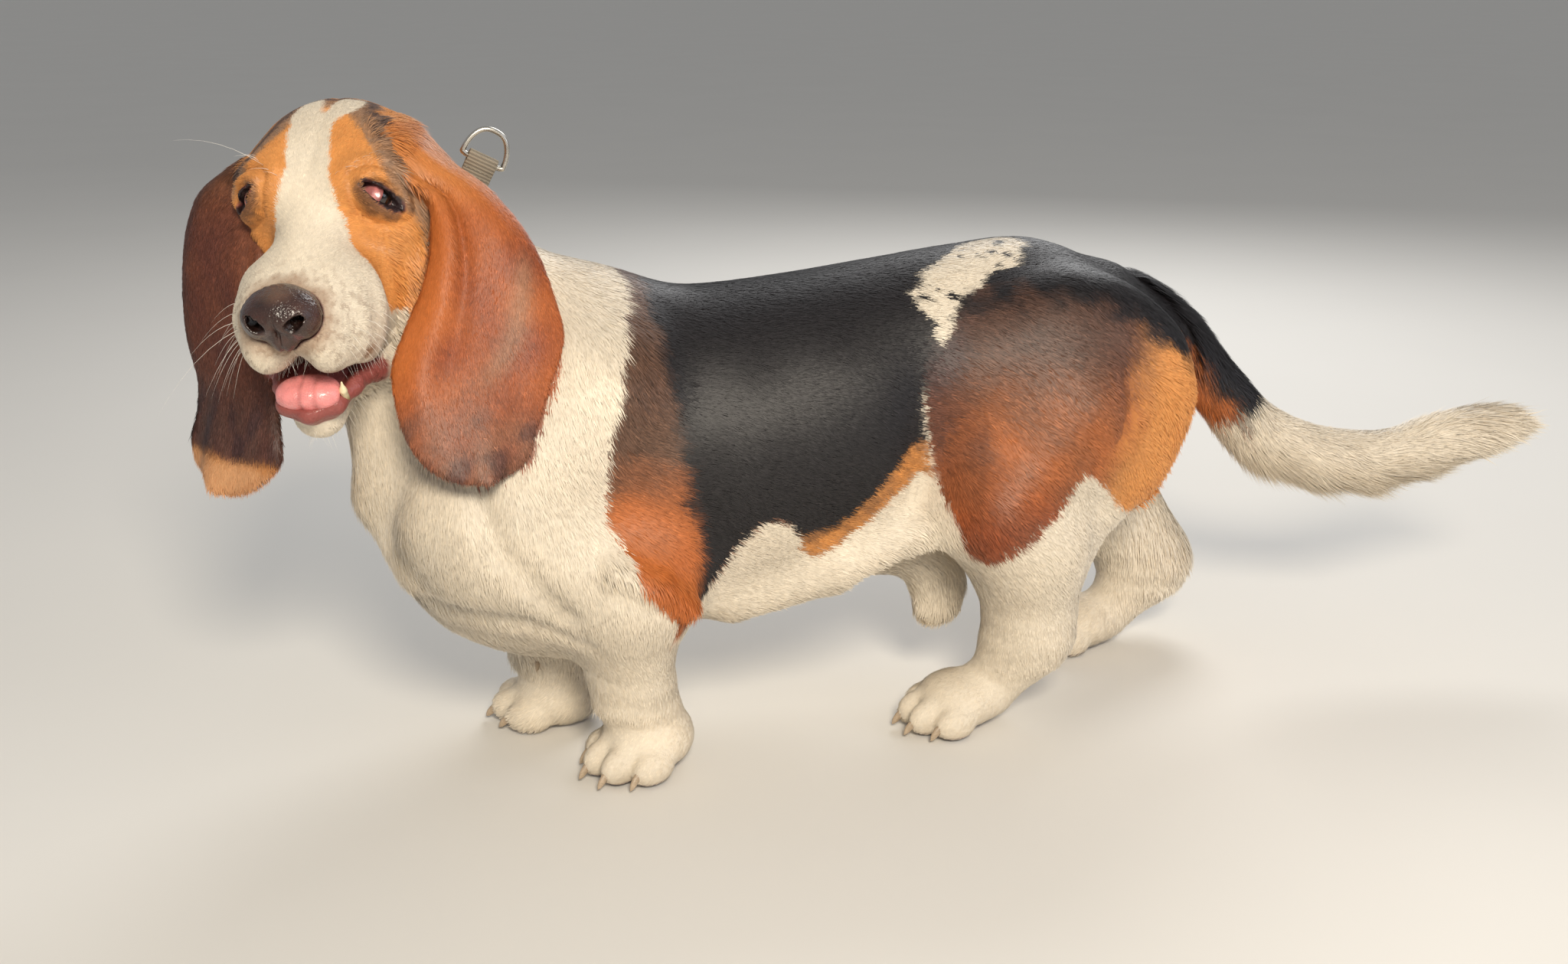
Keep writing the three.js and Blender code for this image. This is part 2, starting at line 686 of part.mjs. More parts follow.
const claws = LEGS.flatMap((leg) => {
  const onPaw = TOES.map((toe, i) => {
    const reach = toe.along - 12 * toe.size;
    const root = pawPoint(leg, reach * leg.scale, toe.across * leg.scale, 13);
    const tip = pawPoint(leg, (reach - 14) * leg.scale, toe.across * leg.scale * 1.08, 5);
    const name = `claw_${leg.name}_${leg.flank}_${i + 1}`;
    return horn(name, `${leg.name}paw_${leg.flank}`, root, tip.sub(root), 15, 4.2);
  });
  if (leg.name === 'hind') return onPaw;
  const root = vec(leg.wrist.x - 8, leg.wrist.y - leg.side * 22, 66);
  const ahead = vec(-0.35, -leg.side * 0.6, -0.75);
  return [...onPaw, horn(`claw_fore_${leg.flank}_dew`, `foreleg_${leg.flank}`, root, ahead, 19, 4)];
});

for (const [name, here] of Object.entries(LEG_ROOMS)) {
  const isThigh = name.startsWith('thigh');
  const cell = isThigh ? THIGH_CELL : LEG_CELL;
  const sockets = claws.filter((claw) => claw.limbName === name).map((claw) => claw.socket);
  add(name, share(here, name.includes('paw') ? PAW_CELL : cell, 0, sockets), isThigh ? BLACK : CREAM);
}
claws.forEach((claw) => add(claw.name, claw.body, HORN));

Object.entries(TAIL_ROOMS).forEach(([name, here], i) => {
  const walls = i > 0 ? [behind(TAIL_CUTS[i], GAP)] : [];
  add(name, share(here, TAIL_CELL, 0, walls), i === 0 ? BLACK : CREAM);
});

// Head: flesh in the head's own frame, opened for the nose leather, the eyes and their sockets
const inDog = vec(0, 0, 0);
const fleshAtHead = (q) => flesh(inDog.copy(q).applyMatrix4(HEAD));
const HEAD_LOW = vec(-130, -94, -132);
const HEAD_HIGH = vec(134, 98, 62);
const headWall = behind(NAPE_CUT, 0);
const headFlesh = (grow, cutters) => (
  onHead((q) => fleshAtHead(q) - grow, HEAD_LOW, HEAD_HIGH, HEAD_CELL, cutters)
);

const NOSE_LOW = vec(70, -36, -46);
const NOSE_HIGH = vec(138, 36, 16);
const noseBody = (grow) => onHead((q) => noseLeather(q) - grow, NOSE_LOW, NOSE_HIGH, SMALL_CELL);

function ball(radius, place, stretch = vec(1, 1, 1)) {
  const geometry = new THREE.SphereGeometry(radius, 10, 7).scale(stretch.x, stretch.y, stretch.z);
  return solid(geometry.translate(place.x, place.y, place.z).applyMatrix4(HEAD));
}

const eyeballs = Object.values(EYES).map((eye) => ball(EYE_RADIUS + GAP, eye));
const openings = Object.values(EYES).map((eye) => ball(
  1,
  eye.clone().add(vec(13, Math.sign(eye.y) * 9, -1)),
  vec(15, 12, 8.5),
));
add('head', headFlesh(0, [headWall, collarZone, noseBody(CLEARANCE), ...eyeballs, ...openings]), TAN);
add('nose', noseBody(0), NOSE_LEATHER);
Object.entries(EYES).forEach(([side, eye]) => add(`eye_${side}`, ball(EYE_RADIUS, eye), EYE_BROWN));

// Mouth: a lower jaw with its canine tooth, and the tongue that lies on it
const MOUTH_LOW = vec(-70, -60, -130);
const MOUTH_HIGH = vec(124, 60, -30);
const tongueBody = (grow) => {
  const geometry = new THREE.SphereGeometry(1, 10, 7).scale(34 + grow, 17 + grow, 7 + grow);
  return solid(geometry.rotateY(radians(8)).translate(80, 0, -77).applyMatrix4(HEAD));
};
const neckZone = share(NECK_ROOM, NECK_CELL, 2 * CLEARANCE);
const upperFlesh = [headFlesh(CLEARANCE), neckZone, collarZone];
const canineCone = new THREE.ConeGeometry(3.2, 16, 7).rotateX(Math.PI / 2).translate(96, 20, -76);
const canine = solid(canineCone.applyMatrix4(HEAD));
const jawBody = onHead(jaw, MOUTH_LOW, MOUTH_HIGH, JAW_CELL, [...upperFlesh, tongueBody(GAP)]);
add('lower_jaw', without(jawBody.add(canine), [tongueBody(GAP)]), CREAM);
add('tongue', without(tongueBody(0), upperFlesh), TONGUE_PINK);

// Ring: round wire bent to a D, in a plane given by the way along its bar and the way up
const RING = {
  place: vec(-84, 20, 439),
  along: vec(0.89, 0, -0.455),
  up: vec(0.455, 0, 0.89),
  halfWidth: 15,
  height: 21,
  wire: 1.9,
};

function ringPoint(turn) {
  const rise = Math.sin(turn) > 0 ? RING.height : 2;
  const side = Math.sign(Math.cos(turn)) * Math.abs(Math.cos(turn)) ** 0.8;
  return RING.place.clone()
    .addScaledVector(RING.along, side * RING.halfWidth)
    .addScaledVector(RING.up, Math.sin(turn) * rise);
}

function ringBody(wire) {
  const steps = 16;
  const sides = 6;
  const across = vec(0, 0, 0).crossVectors(RING.along, RING.up).normalize();
  const centre = RING.place.clone().addScaledVector(RING.up, RING.height * 0.4);
  const points = [];
  const faces = [];
  for (let i = 0; i < steps; i += 1) {
    const middle = ringPoint((i / steps) * 2 * Math.PI);
    const out = middle.clone().sub(centre).normalize();
    for (let j = 0; j < sides; j += 1) {
      const angle = (j / sides) * 2 * Math.PI;
      const point = middle.clone()
        .addScaledVector(out, Math.cos(angle) * wire)
        .addScaledVector(across, Math.sin(angle) * wire);
      points.push(point.x, point.y, point.z);
      const next = ((i + 1) % steps) * sides;
      const turn = (j + 1) % sides;
      faces.push(i * sides + j, next + j, next + turn, i * sides + j, next + turn, i * sides + turn);
    }
  }
  const geometry = new THREE.BufferGeometry();
  geometry.setAttribute('position', new THREE.Float32BufferAttribute(points, 3));
  geometry.setIndex(faces);
  return solid(geometry);
}

// Tab: the doubled end of the webbing that stands up from the collar and holds the ring's bar
const TAB = { height: 34, thickness: 6, above: 4.5 };

function tabBody() {
  const across = vec(0, 0, 0).crossVectors(RING.up, RING.along).normalize();
  const frame = new THREE.Matrix4().makeBasis(RING.along, across, RING.up);
  const block = new THREE.BoxGeometry(COLLAR_WIDTH, TAB.thickness, TAB.height);
  block.translate(0, 0, TAB.above - TAB.height / 2);
  return solid(block.applyMatrix4(frame.setPosition(RING.place)));
}

add('collar_ring', ringBody(RING.wire), STEEL);
add('collar_tab', without(tabBody(), [ringBody(RING.wire + GAP), collarZone, neckZone]), WEBBING);

// Ears: hanging sheets of one thickness, with rows from the root to the tip that give the front
// and rear edge as [across, height], and a bend that gives how far out the sheet hangs at a height
const EAR = {
  left: {
    side: LEFT,
    origin: vec(0, 0, 0),
    across: vec(1, 0, 0),
    outward: vec(0, -1, 0),
    rows: [
      [-150, 440, -150, 468],
      [-130, 425, -115, 452],
      [-129, 397, -84, 427],
      [-137, 370, -63, 391],
      [-150, 346, -51, 350],
      [-161, 322, -50, 332],
      [-161, 301, -61, 309],
      [-158, 281, -78, 286],
      [-148, 264, -86, 266],
      [-135, 251, -96, 250],
      [-121, 244, -113, 244],
    ],
    bend: [[250, 108], [300, 94], [350, 74], [400, 55], [430, 36], [455, 16], [476, 4]],
    bulge: 8,
  },
  right: {
    side: RIGHT,
    origin: vec(-262, 6, 0),
    across: vec(0.6, -0.8, 0),
    outward: vec(-0.8, -0.6, 0),
    rows: [
      [14, 430, -4, 446],
      [30, 418, -34, 426],
      [37, 400, -39, 405],
      [41, 375, -40, 375],
      [43, 345, -41, 345],
      [43, 318, -40, 318],
      [48, 292, -35, 294],
      [52, 272, -39, 272],
      [54, 255, -47, 252],
      [40, 238, -42, 240],
      [12, 227, -6, 229],
    ],
    bend: [[228, 12], [250, 6], [300, 2], [340, 2], [380, -2], [415, -14], [430, -28], [446, -50]],
    bulge: 6,
  },
};

function earPoint(ear, along, across, lift) {
  const rows = ear.rows.map((edges, i) => [i, ...edges]);
  const row = (column) => station(rows, along * (rows.length - 1), column + 1);
  const s = row(0) + (row(2) - row(0)) * across;
  const z = row(1) + (row(3) - row(1)) * across;
  const round = 1 - (2 * across - 1) ** 2;
  const out = station(ear.bend, z, 1) + ear.bulge * round + lift;
  return ear.origin.clone().addScaledVector(ear.across, s).addScaledVector(ear.outward, out).setZ(z);
}

function earBody(ear) {
  const steps = 11;
  const side = 5;
  const ring = 2 * side;
  const points = [];
  const faces = [];
  const face = (a, b, c) => faces.push(a, ...(ear.side === LEFT ? [c, b] : [b, c]));
  for (let i = 0; i <= steps; i += 1) {
    for (let j = 0; j < ring; j += 1) {
      const across = j <= side ? j / side : 2 - j / side;
      const half = (EAR_THICKNESS / 2) * Math.sqrt(1 - Math.abs(2 * across - 1) ** 4);
      points.push(...earPoint(ear, i / steps, across, j <= side ? half : -half));
      if (i === steps) continue;
      const next = (j + 1) % ring;
      const a = i * ring + j;
      const b = i * ring + next;
      face(a, b, b + ring);
      face(a, b + ring, a + ring);
    }
  }
  for (const [row, flip] of [[0, true], [steps, false]]) {
    const middle = points.length / 3;
    points.push(...earPoint(ear, row / steps, 0.5, 0));
    for (let j = 0; j < ring; j += 1) {
      const a = row * ring + j;
      const b = row * ring + ((j + 1) % ring);
      face(middle, ...(flip ? [b, a] : [a, b]));
    }
  }
  const geometry = new THREE.BufferGeometry();
  geometry.setAttribute('position', new THREE.Float32BufferAttribute(points, 3));
  geometry.setIndex(faces);
  return solid(geometry);
}

const chestZone = share(TRUNK_ROOMS.chest, TRUNK_CELL, 2 * CLEARANCE);
const earStops = [headFlesh(CLEARANCE), neckZone, collarZone, chestZone];
Object.entries(EAR).forEach(([side, ear]) => add(`ear_${side}`, without(earBody(ear), earStops), MAHOGANY));

// The origin goes to the middle of the dog's box, on the floor
const extent = new THREE.Box3().setFromObject(dog);
const middle = extent.getCenter(vec(0, 0, 0));
dog.position.set(-middle.x, -middle.y, -extent.min.z);

export default dog;
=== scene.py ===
# A basset hound as a life-size still model: skin, coat, eyes, nose, mouth, claws and collar.
#
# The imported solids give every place. The dog is shaped in its own frame, in millimetres: the
# floor point under the withers is the origin, +X runs to the tail, +Y to the dog's right side
# and +Z up. Its head has a frame of its own, with x to the nose, y to the dog's left and z to
# the crown. A finished piece is turned into the row frame, in metres, when its mesh is made.

import math

import bmesh
import bpy
import numpy as np
from mathutils import Matrix, Vector


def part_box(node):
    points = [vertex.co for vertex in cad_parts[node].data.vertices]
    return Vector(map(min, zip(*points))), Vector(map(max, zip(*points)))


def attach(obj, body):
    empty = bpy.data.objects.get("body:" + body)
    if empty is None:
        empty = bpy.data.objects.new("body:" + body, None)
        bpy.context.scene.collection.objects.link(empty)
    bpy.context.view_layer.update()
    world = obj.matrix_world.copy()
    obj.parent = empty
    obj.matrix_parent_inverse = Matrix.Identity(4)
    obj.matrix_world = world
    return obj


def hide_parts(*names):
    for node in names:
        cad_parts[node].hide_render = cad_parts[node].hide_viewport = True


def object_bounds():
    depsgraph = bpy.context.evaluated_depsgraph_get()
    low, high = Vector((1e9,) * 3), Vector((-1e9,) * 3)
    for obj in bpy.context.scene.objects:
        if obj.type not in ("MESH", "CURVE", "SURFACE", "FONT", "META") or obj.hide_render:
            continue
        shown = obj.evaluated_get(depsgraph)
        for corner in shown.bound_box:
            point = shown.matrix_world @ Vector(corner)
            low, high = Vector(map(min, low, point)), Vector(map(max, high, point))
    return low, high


bl_info = {
    "name": "Basset Hound",
    "version": (1, 0, 0),
    "blender": (4, 5, 0),
    "location": "View3D > Sidebar > Hound",
    "description": "Builds a basset hound's skin, coat, face, claws and collar round its solids",
    "category": "Object",
}

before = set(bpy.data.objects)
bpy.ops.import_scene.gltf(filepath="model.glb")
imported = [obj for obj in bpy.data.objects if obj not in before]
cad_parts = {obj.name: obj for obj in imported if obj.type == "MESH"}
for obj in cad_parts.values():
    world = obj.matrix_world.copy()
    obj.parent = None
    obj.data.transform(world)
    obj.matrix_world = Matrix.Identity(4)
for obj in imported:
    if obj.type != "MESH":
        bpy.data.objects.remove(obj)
CAD_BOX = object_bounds()
PREFIX = "hound"
LEFT = -1
RIGHT = 1
PHOTO_SIZE = (2048, 1259)


def linear(text):
    """Linear colour from an sRGB hex text."""
    parts = [int(text[i:i + 2], 16) / 255 for i in (1, 3, 5)]
    return [c / 12.92 if c <= 0.04045 else ((c + 0.055) / 1.055) ** 2.4 for c in parts]


def colour_property(name, hex_text, description):
    return bpy.props.FloatVectorProperty(
        name=name, description=description, default=linear(hex_text), size=3, subtype="COLOR",
        min=0, max=1,
    )


def size_property(name, description, default, low, high, **kind):
    return bpy.props.FloatProperty(
        name=name, description=description, default=default, min=low, max=high, **kind,
    )


class HoundColours(bpy.types.PropertyGroup):
    white: colour_property("White", "#E2D6C2", "Cream white of the neck, legs, blaze and tail tip")
    black: colour_property("Black", "#1C191B", "Black of the saddle and the top of the tail")
    grizzle: colour_property("Grizzle", "#614636", "Dark hairs mixed with brown")
    orange: colour_property("Orange", "#C06C33", "Warm brown at the edges of the saddle")
    tan: colour_property("Tan", "#DC9550", "Tan of the face and cheeks")
    mahogany: colour_property("Mahogany", "#8E4626", "Red-brown of the ears")
    # The dark band colour is also painted as shade over the far ear.
    band: colour_property("Dark band", "#33252A", "Dark hair round the eyes and at the skull")
    # Ash is also painted as sheen: the pale stripe on the near ear and part of the grey at the
    # skull.
    ash: colour_property("Ash", "#98785F", "Grey-brown hair at the skull and low on the ears")
    pink: colour_property("Pink", "#C08472", "Skin that shows through thin hair")
    ticking: colour_property("Ticking", "#8A6B52", "Small tan hairs in the white near the nose")
    lip: colour_property("Lip", "#94504A", "Wet skin of the lips and mouth")
    rim: colour_property("Lid rim", "#2C2022", "Dark skin of the lid rims")
    haw: colour_property("Haw", "#D2807E", "Pink third eyelid")
    iris: colour_property("Iris", "#2A170D", "Brown of the iris")
    nose: colour_property("Nose", "#3B251F", "Leather of the nose")
    tongue: colour_property("Tongue", "#EC9391", "Tongue")
    claw: colour_property("Claw", "#7A6654", "Horn of the claws")
    webbing: colour_property("Webbing", "#A89C8A", "Woven collar")
    steel: colour_property("Steel", "#C9C4BA", "Steel of the ring")
    floor: colour_property("Floor", "#E4E1DB", "Pale floor of the stage")


class HoundSizes(bpy.types.PropertyGroup):
    hair_length: size_property(
        "Hair length", "Length of the hair against the real one", 1.0, 0.3, 2.0, subtype="FACTOR",
    )
    hair_count: size_property(
        "Hair count", "Number of tufts against the full coat", 1.0, 0.05, 1.3, subtype="FACTOR",
    )
    body_cell: size_property(
        "Body net", "Width of a cell of the body's net, in millimetres", 6.6, 4.0, 12.0,
    )
    head_cell: size_property(
        "Head net", "Width of a cell of the head's net, in millimetres", 2.25, 1.6, 5.0,
    )
    face_cell: size_property(
        "Face net", "Width of a cell of the face's net, in millimetres", 1.4, 1.0, 4.0,
    )
    paw_cell: size_property(
        "Paw net", "Width of a cell of the paws' net, in millimetres", 3.1, 2.0, 6.0,
    )
    eye_radius: size_property(
        "Eye radius", "Radius of the eyeball", 0.011, 0.009, 0.013, unit="LENGTH",
    )
    whisker_length: size_property(
        "Whisker length", "Length of the longest whiskers", 0.055, 0.01, 0.09, unit="LENGTH",
    )
    collar_width: size_property(
        "Collar width", "Width of the collar's webbing", 0.025, 0.015, 0.04, unit="LENGTH",
    )


# Numbers that vary smoothly, and distances

def clamp01(t):
    return np.clip(t, 0.0, 1.0)


def ease(low, high, value):
    t = clamp01((value - low) / (high - low))
    return t * t * (3 - 2 * t)


def bell(value, width):
    """1 where the value is nought, and fading to 0 on both sides over a width."""
    return np.exp(-((value / width) ** 2))


def blend(a, b, k):
    """Smooth union of two distances; k is the width of the fillet."""
    h = np.maximum(k - np.abs(a - b), 0) / k
    return np.minimum(a, b) - h * h * k * 0.25


def meet(a, b, k):
    """Smooth intersection of two distances."""
    return -blend(-a, -b, k)


def join(parts, k):
    def field(p):
        whole = parts[0](p)
        for part in parts[1:]:
            whole = blend(whole, part(p), k)
        return whole
    return field


def egg(centre, radii, yaw=0.0, pitch=0.0):
    turn = Matrix.Rotation(math.radians(yaw), 3, "Z") @ Matrix.Rotation(math.radians(pitch), 3, "Y")
    turn = np.array(turn)
    middle = np.array(centre, float)
    size = np.array(radii, float)

    def field(p):
        q = (p - middle) @ turn / size
        reach = np.sqrt((q * q).sum(1))
        slope = np.sqrt(((q / size) ** 2).sum(1))
        return np.where(slope < 1e-9, -size.min(), reach * (reach - 1) / np.maximum(slope, 1e-9))
    return field


def limb(start, end, r0, r1):
    """A round limb that tapers from one joint to the next."""
    root = np.array(start, float)
    axis = np.array(end, float) - root
    length2 = axis @ axis

    def field(p):
        q = p - root
        t = clamp01(q @ axis / length2)
        q = q - t[:, None] * axis
        return np.sqrt((q * q).sum(1)) - (r0 + (r1 - r0) * t)
    return field


def cord(points, radius, k=3.0):
    """A rounded ridge through a few points."""
    limbs = [limb(a, b, radius, radius) for a, b in zip(points, points[1:])]
    return join(limbs, k)


def station(rows, place, column):
    """A smooth curve through a few stations, rows of (place, value, ...)."""
    table = np.array(rows, float)
    at = table[:, 0]
    value = table[:, column]
    place = np.clip(place, at[0], at[-1])
    i = np.clip(np.searchsorted(at, place, side="right") - 1, 0, len(at) - 2)
    before = np.maximum(i - 1, 0)
    after = np.minimum(i + 2, len(at) - 1)
    span = at[i + 1] - at[i]
    t = (place - at[i]) / span
    slope_a = (value[i + 1] - value[before]) / (at[i + 1] - at[before]) * span
    slope_b = (value[after] - value[i]) / (at[after] - at[i]) * span
    t2 = t * t
    t3 = t2 * t
    start = (2 * t3 - 3 * t2 + 1) * value[i] + (t3 - 2 * t2 + t) * slope_a
    return start + (3 * t2 - 2 * t3) * value[i + 1] + (t3 - t2) * slope_b


def waves(p, size, seed, count=7):
    """Soft irregular swells from -1 to 1, with a typical width in millimetres."""
    dice = np.random.default_rng(seed)
    total = np.zeros(len(p))
    for _ in range(count):
        way = dice.normal(size=3)
        way *= dice.uniform(0.6, 1.5) * math.pi / size / np.linalg.norm(way)
        total += np.sin(p @ way + dice.uniform(0, 2 * math.pi))
    return total / math.sqrt(count)


def unit(v):
    return v / np.maximum(np.linalg.norm(v, axis=-1, keepdims=True), 1e-9)


# Sizes of the dog in its own frame

WITHERS_HEIGHT = 362
BACK_HEIGHT = 352
CROUP_HEIGHT = 372
CHEST_FRONT = -178
EYE_RADIUS = 11.0

# Place along the back, top line, bottom line and half width
TRUNK = [
    (-110, 316, 112, 82),
    (-50, 342, 88, 96),
    (10, BACK_HEIGHT, 86, 103),
    (70, BACK_HEIGHT - 2, 98, 106),
    (130, BACK_HEIGHT + 2, 112, 104),
    (200, BACK_HEIGHT + 10, 132, 96),
    (260, CROUP_HEIGHT - 3, 156, 90),
    (320, CROUP_HEIGHT, 172, 88),
    (370, CROUP_HEIGHT - 16, 186, 84),
    (412, CROUP_HEIGHT - 42, 212, 60),
]


def trunk(p):
    x, y, z = p.T
    top = station(TRUNK, x, 1)
    bottom = station(TRUNK, x, 2)
    width = station(TRUNK, x, 3)
    height = (top - bottom) / 2
    ny = y / width
    nz = (z - (top + bottom) / 2) / height
    reach = np.hypot(ny, nz)
    slope = np.hypot(ny / width, nz / height)
    around = np.where(slope < 1e-9, -width, reach * (reach - 1) / np.maximum(slope, 1e-9))
    ends = np.maximum(TRUNK[0][0] - x, x - TRUNK[-1][0])
    return meet(around, ends, 60)


CHEST = join([
    egg((CHEST_FRONT + 86, 0, 206), (86, 93, 102)),
    egg((-50, 0, 150), (92, 66, 70)),
    egg((-22, 0, WITHERS_HEIGHT - 42), (46, 54, 42)),
], 40)

NECK_BASE = (-66, 4, 272)
NECK_TOP = (-152, 22, 390)
NECK = join([
    limb(NECK_BASE, NECK_TOP, 84, 66),
    limb((-168, 4, 330), (-142, 0, 240), 38, 44),
], 40)

RUMP = join([
    egg((396, LEFT * 44, 266), (40, 34, 50)),
    egg((396, RIGHT * 44, 266), (40, 34, 50)),
    egg((404, 0, 290), (66, 40, 30), 0, 26),
    egg((254, -6, 94), (27, 17, 36)),
    limb((130, 0, 128), (240, -2, 122), 16, 20),
], 26)

# The tail's joints from the croup to the tip, with the radius at the coat
TAIL = [
    ((388, 0, 318), 34),
    ((446, 0, 292), 28),
    ((490, -2, 246), 27),
    ((528, -6, 206), 28),
    ((580, -12, 180), 28),
    ((646, -20, 172), 26),
    ((700, -27, 184), 23),
    ((746, -33, 196), 14),
    ((784, -37, 201), 4),
]
TAIL_SKIN = 0.68


def tail_station(t):
    """Middle of the tail and its radius at the coat, at t joints from its root."""
    table = [(i, *middle, radius) for i, (middle, radius) in enumerate(TAIL)]
    t = np.asarray(t, float)
    middle = np.stack([station(table, t, c) for c in (1, 2, 3)], -1)
    return middle, station(table, t, 4)


def tail_field():
    middle, radius = tail_station(np.linspace(0, len(TAIL) - 2.1, 26))
    radius = radius * TAIL_SKIN
    pieces = zip(middle, middle[1:], radius, radius[1:])
    return join([limb(a, b, ra, rb) for a, b, ra, rb in pieces], 5)


TAIL_FIELD = tail_field()

FORE = {
    "fore_left": dict(
        side=LEFT, shoulder=(-104, -60, 200), elbow=(-10, -80, 150), wrist=(-6, -58, 62),
        paw=(8, -54, 0), turn=28, scale=1.0,
    ),
    "fore_right": dict(
        side=RIGHT, shoulder=(-112, 60, 198), elbow=(-34, 80, 148), wrist=(-52, 46, 62),
        paw=(-42, 38, 0), turn=-22, scale=1.0,
    ),
}
HIND = {
    "hind_left": dict(
        side=LEFT, hip=(328, -62, 248), knee=(262, -78, 186), shin=(296, -72, 150),
        hock=(306, -66, 74), paw=(256, -60, 0), turn=6, lean=12, scale=0.94,
    ),
    "hind_right": dict(
        side=RIGHT, hip=(350, 60, 250), knee=(388, 70, 182), shin=(416, 68, 148),
        hock=(478, 58, 68), paw=(416, 52, 0), turn=-4, lean=-6, scale=0.94,
    ),
}
LEGS = {**FORE, **HIND}

# Toes in the paw's own turned frame, which has the toes towards -X: along, across and size
TOES = [(-22, -27, 0.92), (-36, -10, 1.0), (-36, 10, 1.0), (-22, 27, 0.92)]


def fore_leg(leg):
    blade = (-24, leg["side"] * 54, 290)
    ankle = (leg["paw"][0] + 6, leg["paw"][1], 26)
    return join([
        limb(blade, leg["shoulder"], 44, 48),
        limb(leg["shoulder"], leg["elbow"], 47, 42),
        limb(leg["elbow"], leg["wrist"], 42, 29),
        limb(leg["wrist"], ankle, 29, 25),
    ], 22)


def hind_leg(leg):
    heel = (leg["paw"][0] + 22, leg["paw"][1], 26)
    return join([
        egg(leg["hip"], (104, 46, 104), 0, leg["lean"]),
        limb(leg["hip"], leg["knee"], 60, 46),
        limb(leg["knee"], leg["shin"], 44, 46),
        limb(leg["shin"], leg["hock"], 46, 34),
        limb(leg["hock"], heel, 33, 24),
    ], 22)


def paw_point(leg, along, across, height):
    turn = math.radians(leg["turn"])
    x = along * math.cos(turn) - across * math.sin(turn)
    y = along * math.sin(turn) + across * math.cos(turn)
    return (leg["paw"][0] + x, leg["paw"][1] + y, height)


def paw(leg):
    scale = leg["scale"]
    toes = [
        egg(
            paw_point(leg, along * scale, across * scale, 14 * size),
            (21 * scale * size, 12.5 * scale, 16 * size),
            leg["turn"],
        )
        for along, across, size in TOES
    ]
    pad = egg(paw_point(leg, -6 * scale, 0, 21), (36 * scale, 34 * scale, 24), leg["turn"])
    return join([*toes, pad], 5)


# Head frame and the head's own shapes

HEAD_PLACE = np.array((-198.0, -37.0, 421.0))
HEAD_YAW = math.radians(72)
HEAD_PITCH = math.radians(24)
HEAD_ROLL = math.radians(2)


def head_axes():
    """Rows: the ways to the nose, to the dog's left and to the crown."""
    up = np.array((0, 0, 1.0))
    ahead = np.array((-math.cos(HEAD_YAW), -math.sin(HEAD_YAW), 0))
    aside = np.array((-ahead[1], ahead[0], 0))
    nose = ahead * math.cos(HEAD_PITCH) - up * math.sin(HEAD_PITCH)
    crown = ahead * math.sin(HEAD_PITCH) + up * math.cos(HEAD_PITCH)
    left = aside * math.cos(HEAD_ROLL) + crown * math.sin(HEAD_ROLL)
    crown = crown * math.cos(HEAD_ROLL) - aside * math.sin(HEAD_ROLL)
    return np.array((nose, left, crown))


HEAD_AXES = head_axes()


def to_head(p):
    return (np.asarray(p, float) - HEAD_PLACE) @ HEAD_AXES.T


def from_head(q):
    return np.asarray(q, float) @ HEAD_AXES + HEAD_PLACE


def both(make):
    return [make(1), make(-1)]


SKULL = join([
    egg((-54, 0, -4), (62, 54, 38)),
    *both(lambda s: egg((-12, s * 27, 10), (26, 20, 15))),
    *both(lambda s: egg((-34, s * 36, -28), (44, 24, 34))),
    egg((-40, 0, -58), (52, 42, 40)),
], 20)
MUZZLE = join([
    limb((-4, 0, -8), (90, 0, -26), 22, 20),
    *both(lambda s: egg((62, s * 19, -38), (52, 21, 32))),
], 12)
FLEWS = join(both(lambda s: egg((50, s * 32, -50), (34, 14, 30))), 2)
JAW = join([
    limb((-24, 0, -84), (89, 0, -98), 32, 18),
    *both(lambda s: egg((24, s * 24, -80), (40, 16, 18))),
], 14)
LIP_LINE = [
    (107, 0, -86), (99, 15, -85), (80, 22, -85), (60, 30, -88), (44, 38, -96), (24, 38, -86),
]
LOWER_LIP = join(both(lambda s: cord([(x, s * y, z) for x, y, z in LIP_LINE], 6.0, 6)), 4)
TONGUE_BED = egg((76, 0, -76), (38, 19, 9))
MOUTH_ROOM = egg((58, 0, -76), (48, 24, 8))
NOSE_LEATHER = join([
    egg((101, 0, -9), (18, 18, 12)),
    *both(lambda s: egg((102, s * 13, -15), (14, 10, 12))),
    egg((104, 0, -25), (13, 9, 10)),
], 7)
EYES = {"left": np.array((-7.0, 37.0, -1.0)), "right": np.array((-7.0, -37.0, -1.0))}
LID_RADIUS = 13.2
LID_HALF = (15.5, 4.4)


def eye_axes(side):
    """Rows: along the slit to its outer corner, up across it, and out of the eye."""
    s = 1 if side == "left" else -1
    out = unit(np.array((0.78, s * 0.40, 0.48)))
    along = np.array((0.345, s * 0.843, -0.383))
    along = unit(along - (along @ out) * out)
    up = np.cross(out, along) * s
    return np.array((along, up, out))


def eye_place(side, q):
    """Places along the slit, up across it, and out of the eye, from the eye's middle."""
    return (q - EYES[side]) @ eye_axes(side).T


def slit(at, grow=0.0):
    """How far a place is outside the opening of the lids, seen along the eye's axis."""
    half = np.array(LID_HALF) + grow
    # The slit droops at its outer end, so its lower edge is fuller
    n = (at[:, :2] - np.array((2.0, 2.2))) / half
    reach = np.sqrt((n * n).sum(1))
    slope = np.sqrt(((n / half) ** 2).sum(1))
    return reach * (reach - 1) / np.maximum(slope, 1e-6)


